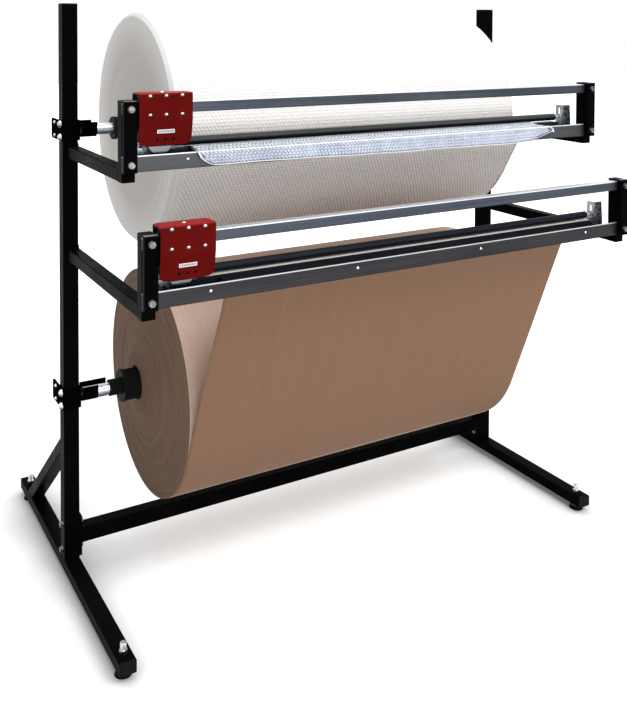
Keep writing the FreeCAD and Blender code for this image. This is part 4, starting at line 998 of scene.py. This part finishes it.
# %% Bubbles on the film sheet
level_part = film_run.length - 34 * mm
web_bubble_height, level_bubble_height = 1.7 * mm, 1.5 * mm
level_row_pitch = 8.0 * mm
web_pairs = int((level_part - bubble_pitch) / row_pitch / 2)
web_field = bubble_field(bubble_columns, web_pairs, web_bubble_height)
moved(web_field, lambda x, y, z: film_place(film_left + film_margin + x, y + 2 * mm, -z))
web_field.flip_normals()
web_bubbles = bubble_piece("film_sheet_bubbles", web_field, finishes["film"], "frame")
full_columns = int((film_width - 2 * bubble_pitch) / bubble_pitch)
level_field = bubble_field(full_columns, 2, level_bubble_height, level_row_pitch)
moved(level_field, lambda x, y, z: film_place(film_left + bubble_pitch + x, y + level_part + 4 * mm, z))
lip_bubbles = bubble_piece("film_lip_bubbles", level_field, finishes["flap_bubbles"], "frame")

# %% [markdown]
# ## The film's cut end
# The cut end lies on the channel and hangs forward over its lip. Its outline is uneven: round at
# the lower left, drawn to a point at the right, with a wavy lower edge. A painted highlight runs
# along the fold over the lip, where no bubble stands, and the cut edges carry a painted highlight
# too. The outline of each side is a few pairs in millimetres: the way along the run, and X.

# %% Shape of the cut end
groove_front = upper["groove"] - groove_half
lip = groove_front - upper["face"]
flap_drop = 40 * mm
flap_height = upper["top"] + 1.5 * mm
hang_y = upper["face"] - 4.5 * mm
flap_run = Run([(groove_front, flap_height), (hang_y, flap_height),
                (hang_y - 5 * mm, upper["top"] - flap_drop)], [5 * mm])


def outline(along, *stops):
    """X of the flap's side edge, read off between (way along, X) pairs."""
    return np.interp(along, [stop[0] * mm for stop in stops], [stop[1] * mm for stop in stops])


def flap_place(share, along, above):
    """share goes from 0 at the left edge to 1 at the right one."""
    left = outline(along, (0, -537), (27, -537), (43, -531), (53, -521), (60, -510), (64, -495))
    right = outline(along, (0, 537), (24, 542), (31, 552), (35, 556), (40, 545), (52, 505), (64, 465))
    x = left + (right - left) * share
    hanging = np.clip((along - lip) / flap_drop, 0, 1)
    drop = np.interp(x, (-0.54, -0.2, 0.3, 0.54), (0.78, 0.88, 1.0, 0.92))
    wave = np.sin(21 * x + 0.4) + 0.6 * np.sin(47 * x + 2.0) + 0.35 * np.sin(95 * x)
    longer = along - hanging * (1 - drop) * flap_drop
    longer = longer + hanging ** 2 * (0.9 * mm * np.sin(13 * x + 2.2) + 0.5 * mm * np.sin(37 * x))
    y, z = flap_run.place(longer, above + hanging ** 1.5 * 1.3 * mm * wave)
    return x, y, z


# %% Lay the cut end and its bubbles
lip_crease = 23 * mm
flap = laid_sheet("film_flap", finishes["flap"], flap_run, 0.0, 1.0, columns=210, rows=24,
                  thickness=0.3 * mm, place=flap_place, replaces="bubble_web",
                  edge=finishes["edge_highlight"], crease=lip_crease)
flap_scale = film_width + 4 * mm
flap_margin, flap_row_pitch, flap_bubble_height = 12 * mm, 8.2 * mm, 2.2 * mm
for part, row_pairs, first_row in (("level", 1, 4.0 * mm), ("hanging", 2, lip_crease + 8 * mm)):
    field = bubble_field(full_columns, row_pairs, flap_bubble_height, flap_row_pitch)
    moved(field, lambda x, y, z, first=first_row: flap_place((x + flap_margin) / flap_scale, y + first, z))
    bubble_piece(f"film_flap_bubbles_{part}", field, finishes["flap_bubbles"], "frame")

# %% [markdown]
# ## The world
# The stand is seen against white. The world is white to the camera, and to rays that metal and
# film send on, and it is a good deal weaker as a light, so that pale surfaces keep their colour.

# %% World
world = bpy.data.worlds.new("studio")
bpy.context.scene.world = world
world.use_nodes = True
world_nodes = world.node_tree.nodes
world_links = world.node_tree.links
background = world_nodes["Background"]
background.inputs["Color"].default_value = (1.0, 1.0, 1.0, 1.0)
light_path = world_nodes.new("ShaderNodeLightPath")


def seen_rays(nodes, links, path):
    """1 for camera, glossy and transmission rays."""
    first = nodes.new("ShaderNodeMath")
    first.operation = "MAXIMUM"
    links.new(path.outputs["Is Camera Ray"], first.inputs[0])
    links.new(path.outputs["Is Glossy Ray"], first.inputs[1])
    second = nodes.new("ShaderNodeMath")
    second.operation = "MAXIMUM"
    links.new(first.outputs[0], second.inputs[0])
    links.new(path.outputs["Is Transmission Ray"], second.inputs[1])
    return second.outputs[0]


world_fill = 0.55
strength = world_nodes.new("ShaderNodeMapRange")
world_links.new(seen_rays(world_nodes, world_links, light_path), strength.inputs["Value"])
strength.inputs["To Min"].default_value = world_fill
strength.inputs["To Max"].default_value = 1.0
world_links.new(strength.outputs["Result"], background.inputs["Strength"])
print("world fill:", world_fill)

# %% [markdown]
# ## Lamps
# Three wide soft lamps light the stand: a key from the front and above, one straight above the
# rolls and a low one in front, which reaches the sheets under the units.


# %% Lamps
def soft_lamp(name, place, target, size, power):
    data = bpy.data.lights.new(name, "AREA")
    data.shape = "RECTANGLE"
    data.size, data.size_y = size
    data.energy = power
    lamp = linked(name, data)
    lamp.location = place
    lamp.rotation_euler = (Vector(target) - Vector(place)).to_track_quat("-Z", "Y").to_euler()
    print(name, power, "W")


soft_lamp("key_lamp", (1.0, -3.2, 4.0), (0.0, 0.0, 0.8), (2.6, 2.0), 105.0)
soft_lamp("top_lamp", (-0.3, 0.4, 4.2), (0.0, 0.0, 0.8), (3.0, 2.0), 34.0)
soft_lamp("front_lamp", (-0.6, -3.6, 0.7), (0.0, 0.0, 0.9), (3.0, 1.6), 34.0)

# %% [markdown]
# ## The floor
# The floor gives back its own white to the camera and to reflections, less of it close to the
# stand and where little open sky is above it. That keeps the soft shadow under the feet and the
# cross rail.

# %% Floor
shadow_reach, shadow_depth = 0.16, 3.0
floor_white = Finish("pale_floor", (0.8, 0.8, 0.8), 0.9)
seen = seen_rays(floor_white.tree.nodes, floor_white.tree.links, floor_white.add("ShaderNodeLightPath"))
from_stand = floor_white.add("ShaderNodeVectorMath", {"operation": "LENGTH"}, Vector=floor_white.place)
fading = floor_white.between(from_stand.outputs["Value"], 0.6, 1.0, 1.2, 3.0)
open_sky = floor_white.add("ShaderNodeAmbientOcclusion", Distance=shadow_reach)
shaded = floor_white.math("POWER", open_sky.outputs["AO"], shadow_depth)
fading = floor_white.math("MULTIPLY", fading, shaded)
floor_white.set(floor_white.shader, "Emission Strength", floor_white.math("MULTIPLY", seen, fading))
floor_white.set(floor_white.shader, "Emission Color", (1.0, 1.0, 1.0, 1.0))
floor_mesh = bpy.data.meshes.new("floor")
floor_bm = bmesh.new()
bmesh.ops.create_grid(floor_bm, x_segments=1, y_segments=1, size=20.0)
floor_bm.to_mesh(floor_mesh)
floor_bm.free()
floor_mesh.materials.append(floor_white.material)
floor = linked("floor", floor_mesh)

# %% [markdown]
# ## The picture
# Colours are shown as they are, with the Standard view.

# %% Picture settings
bpy.context.scene.view_settings.view_transform = "Standard"
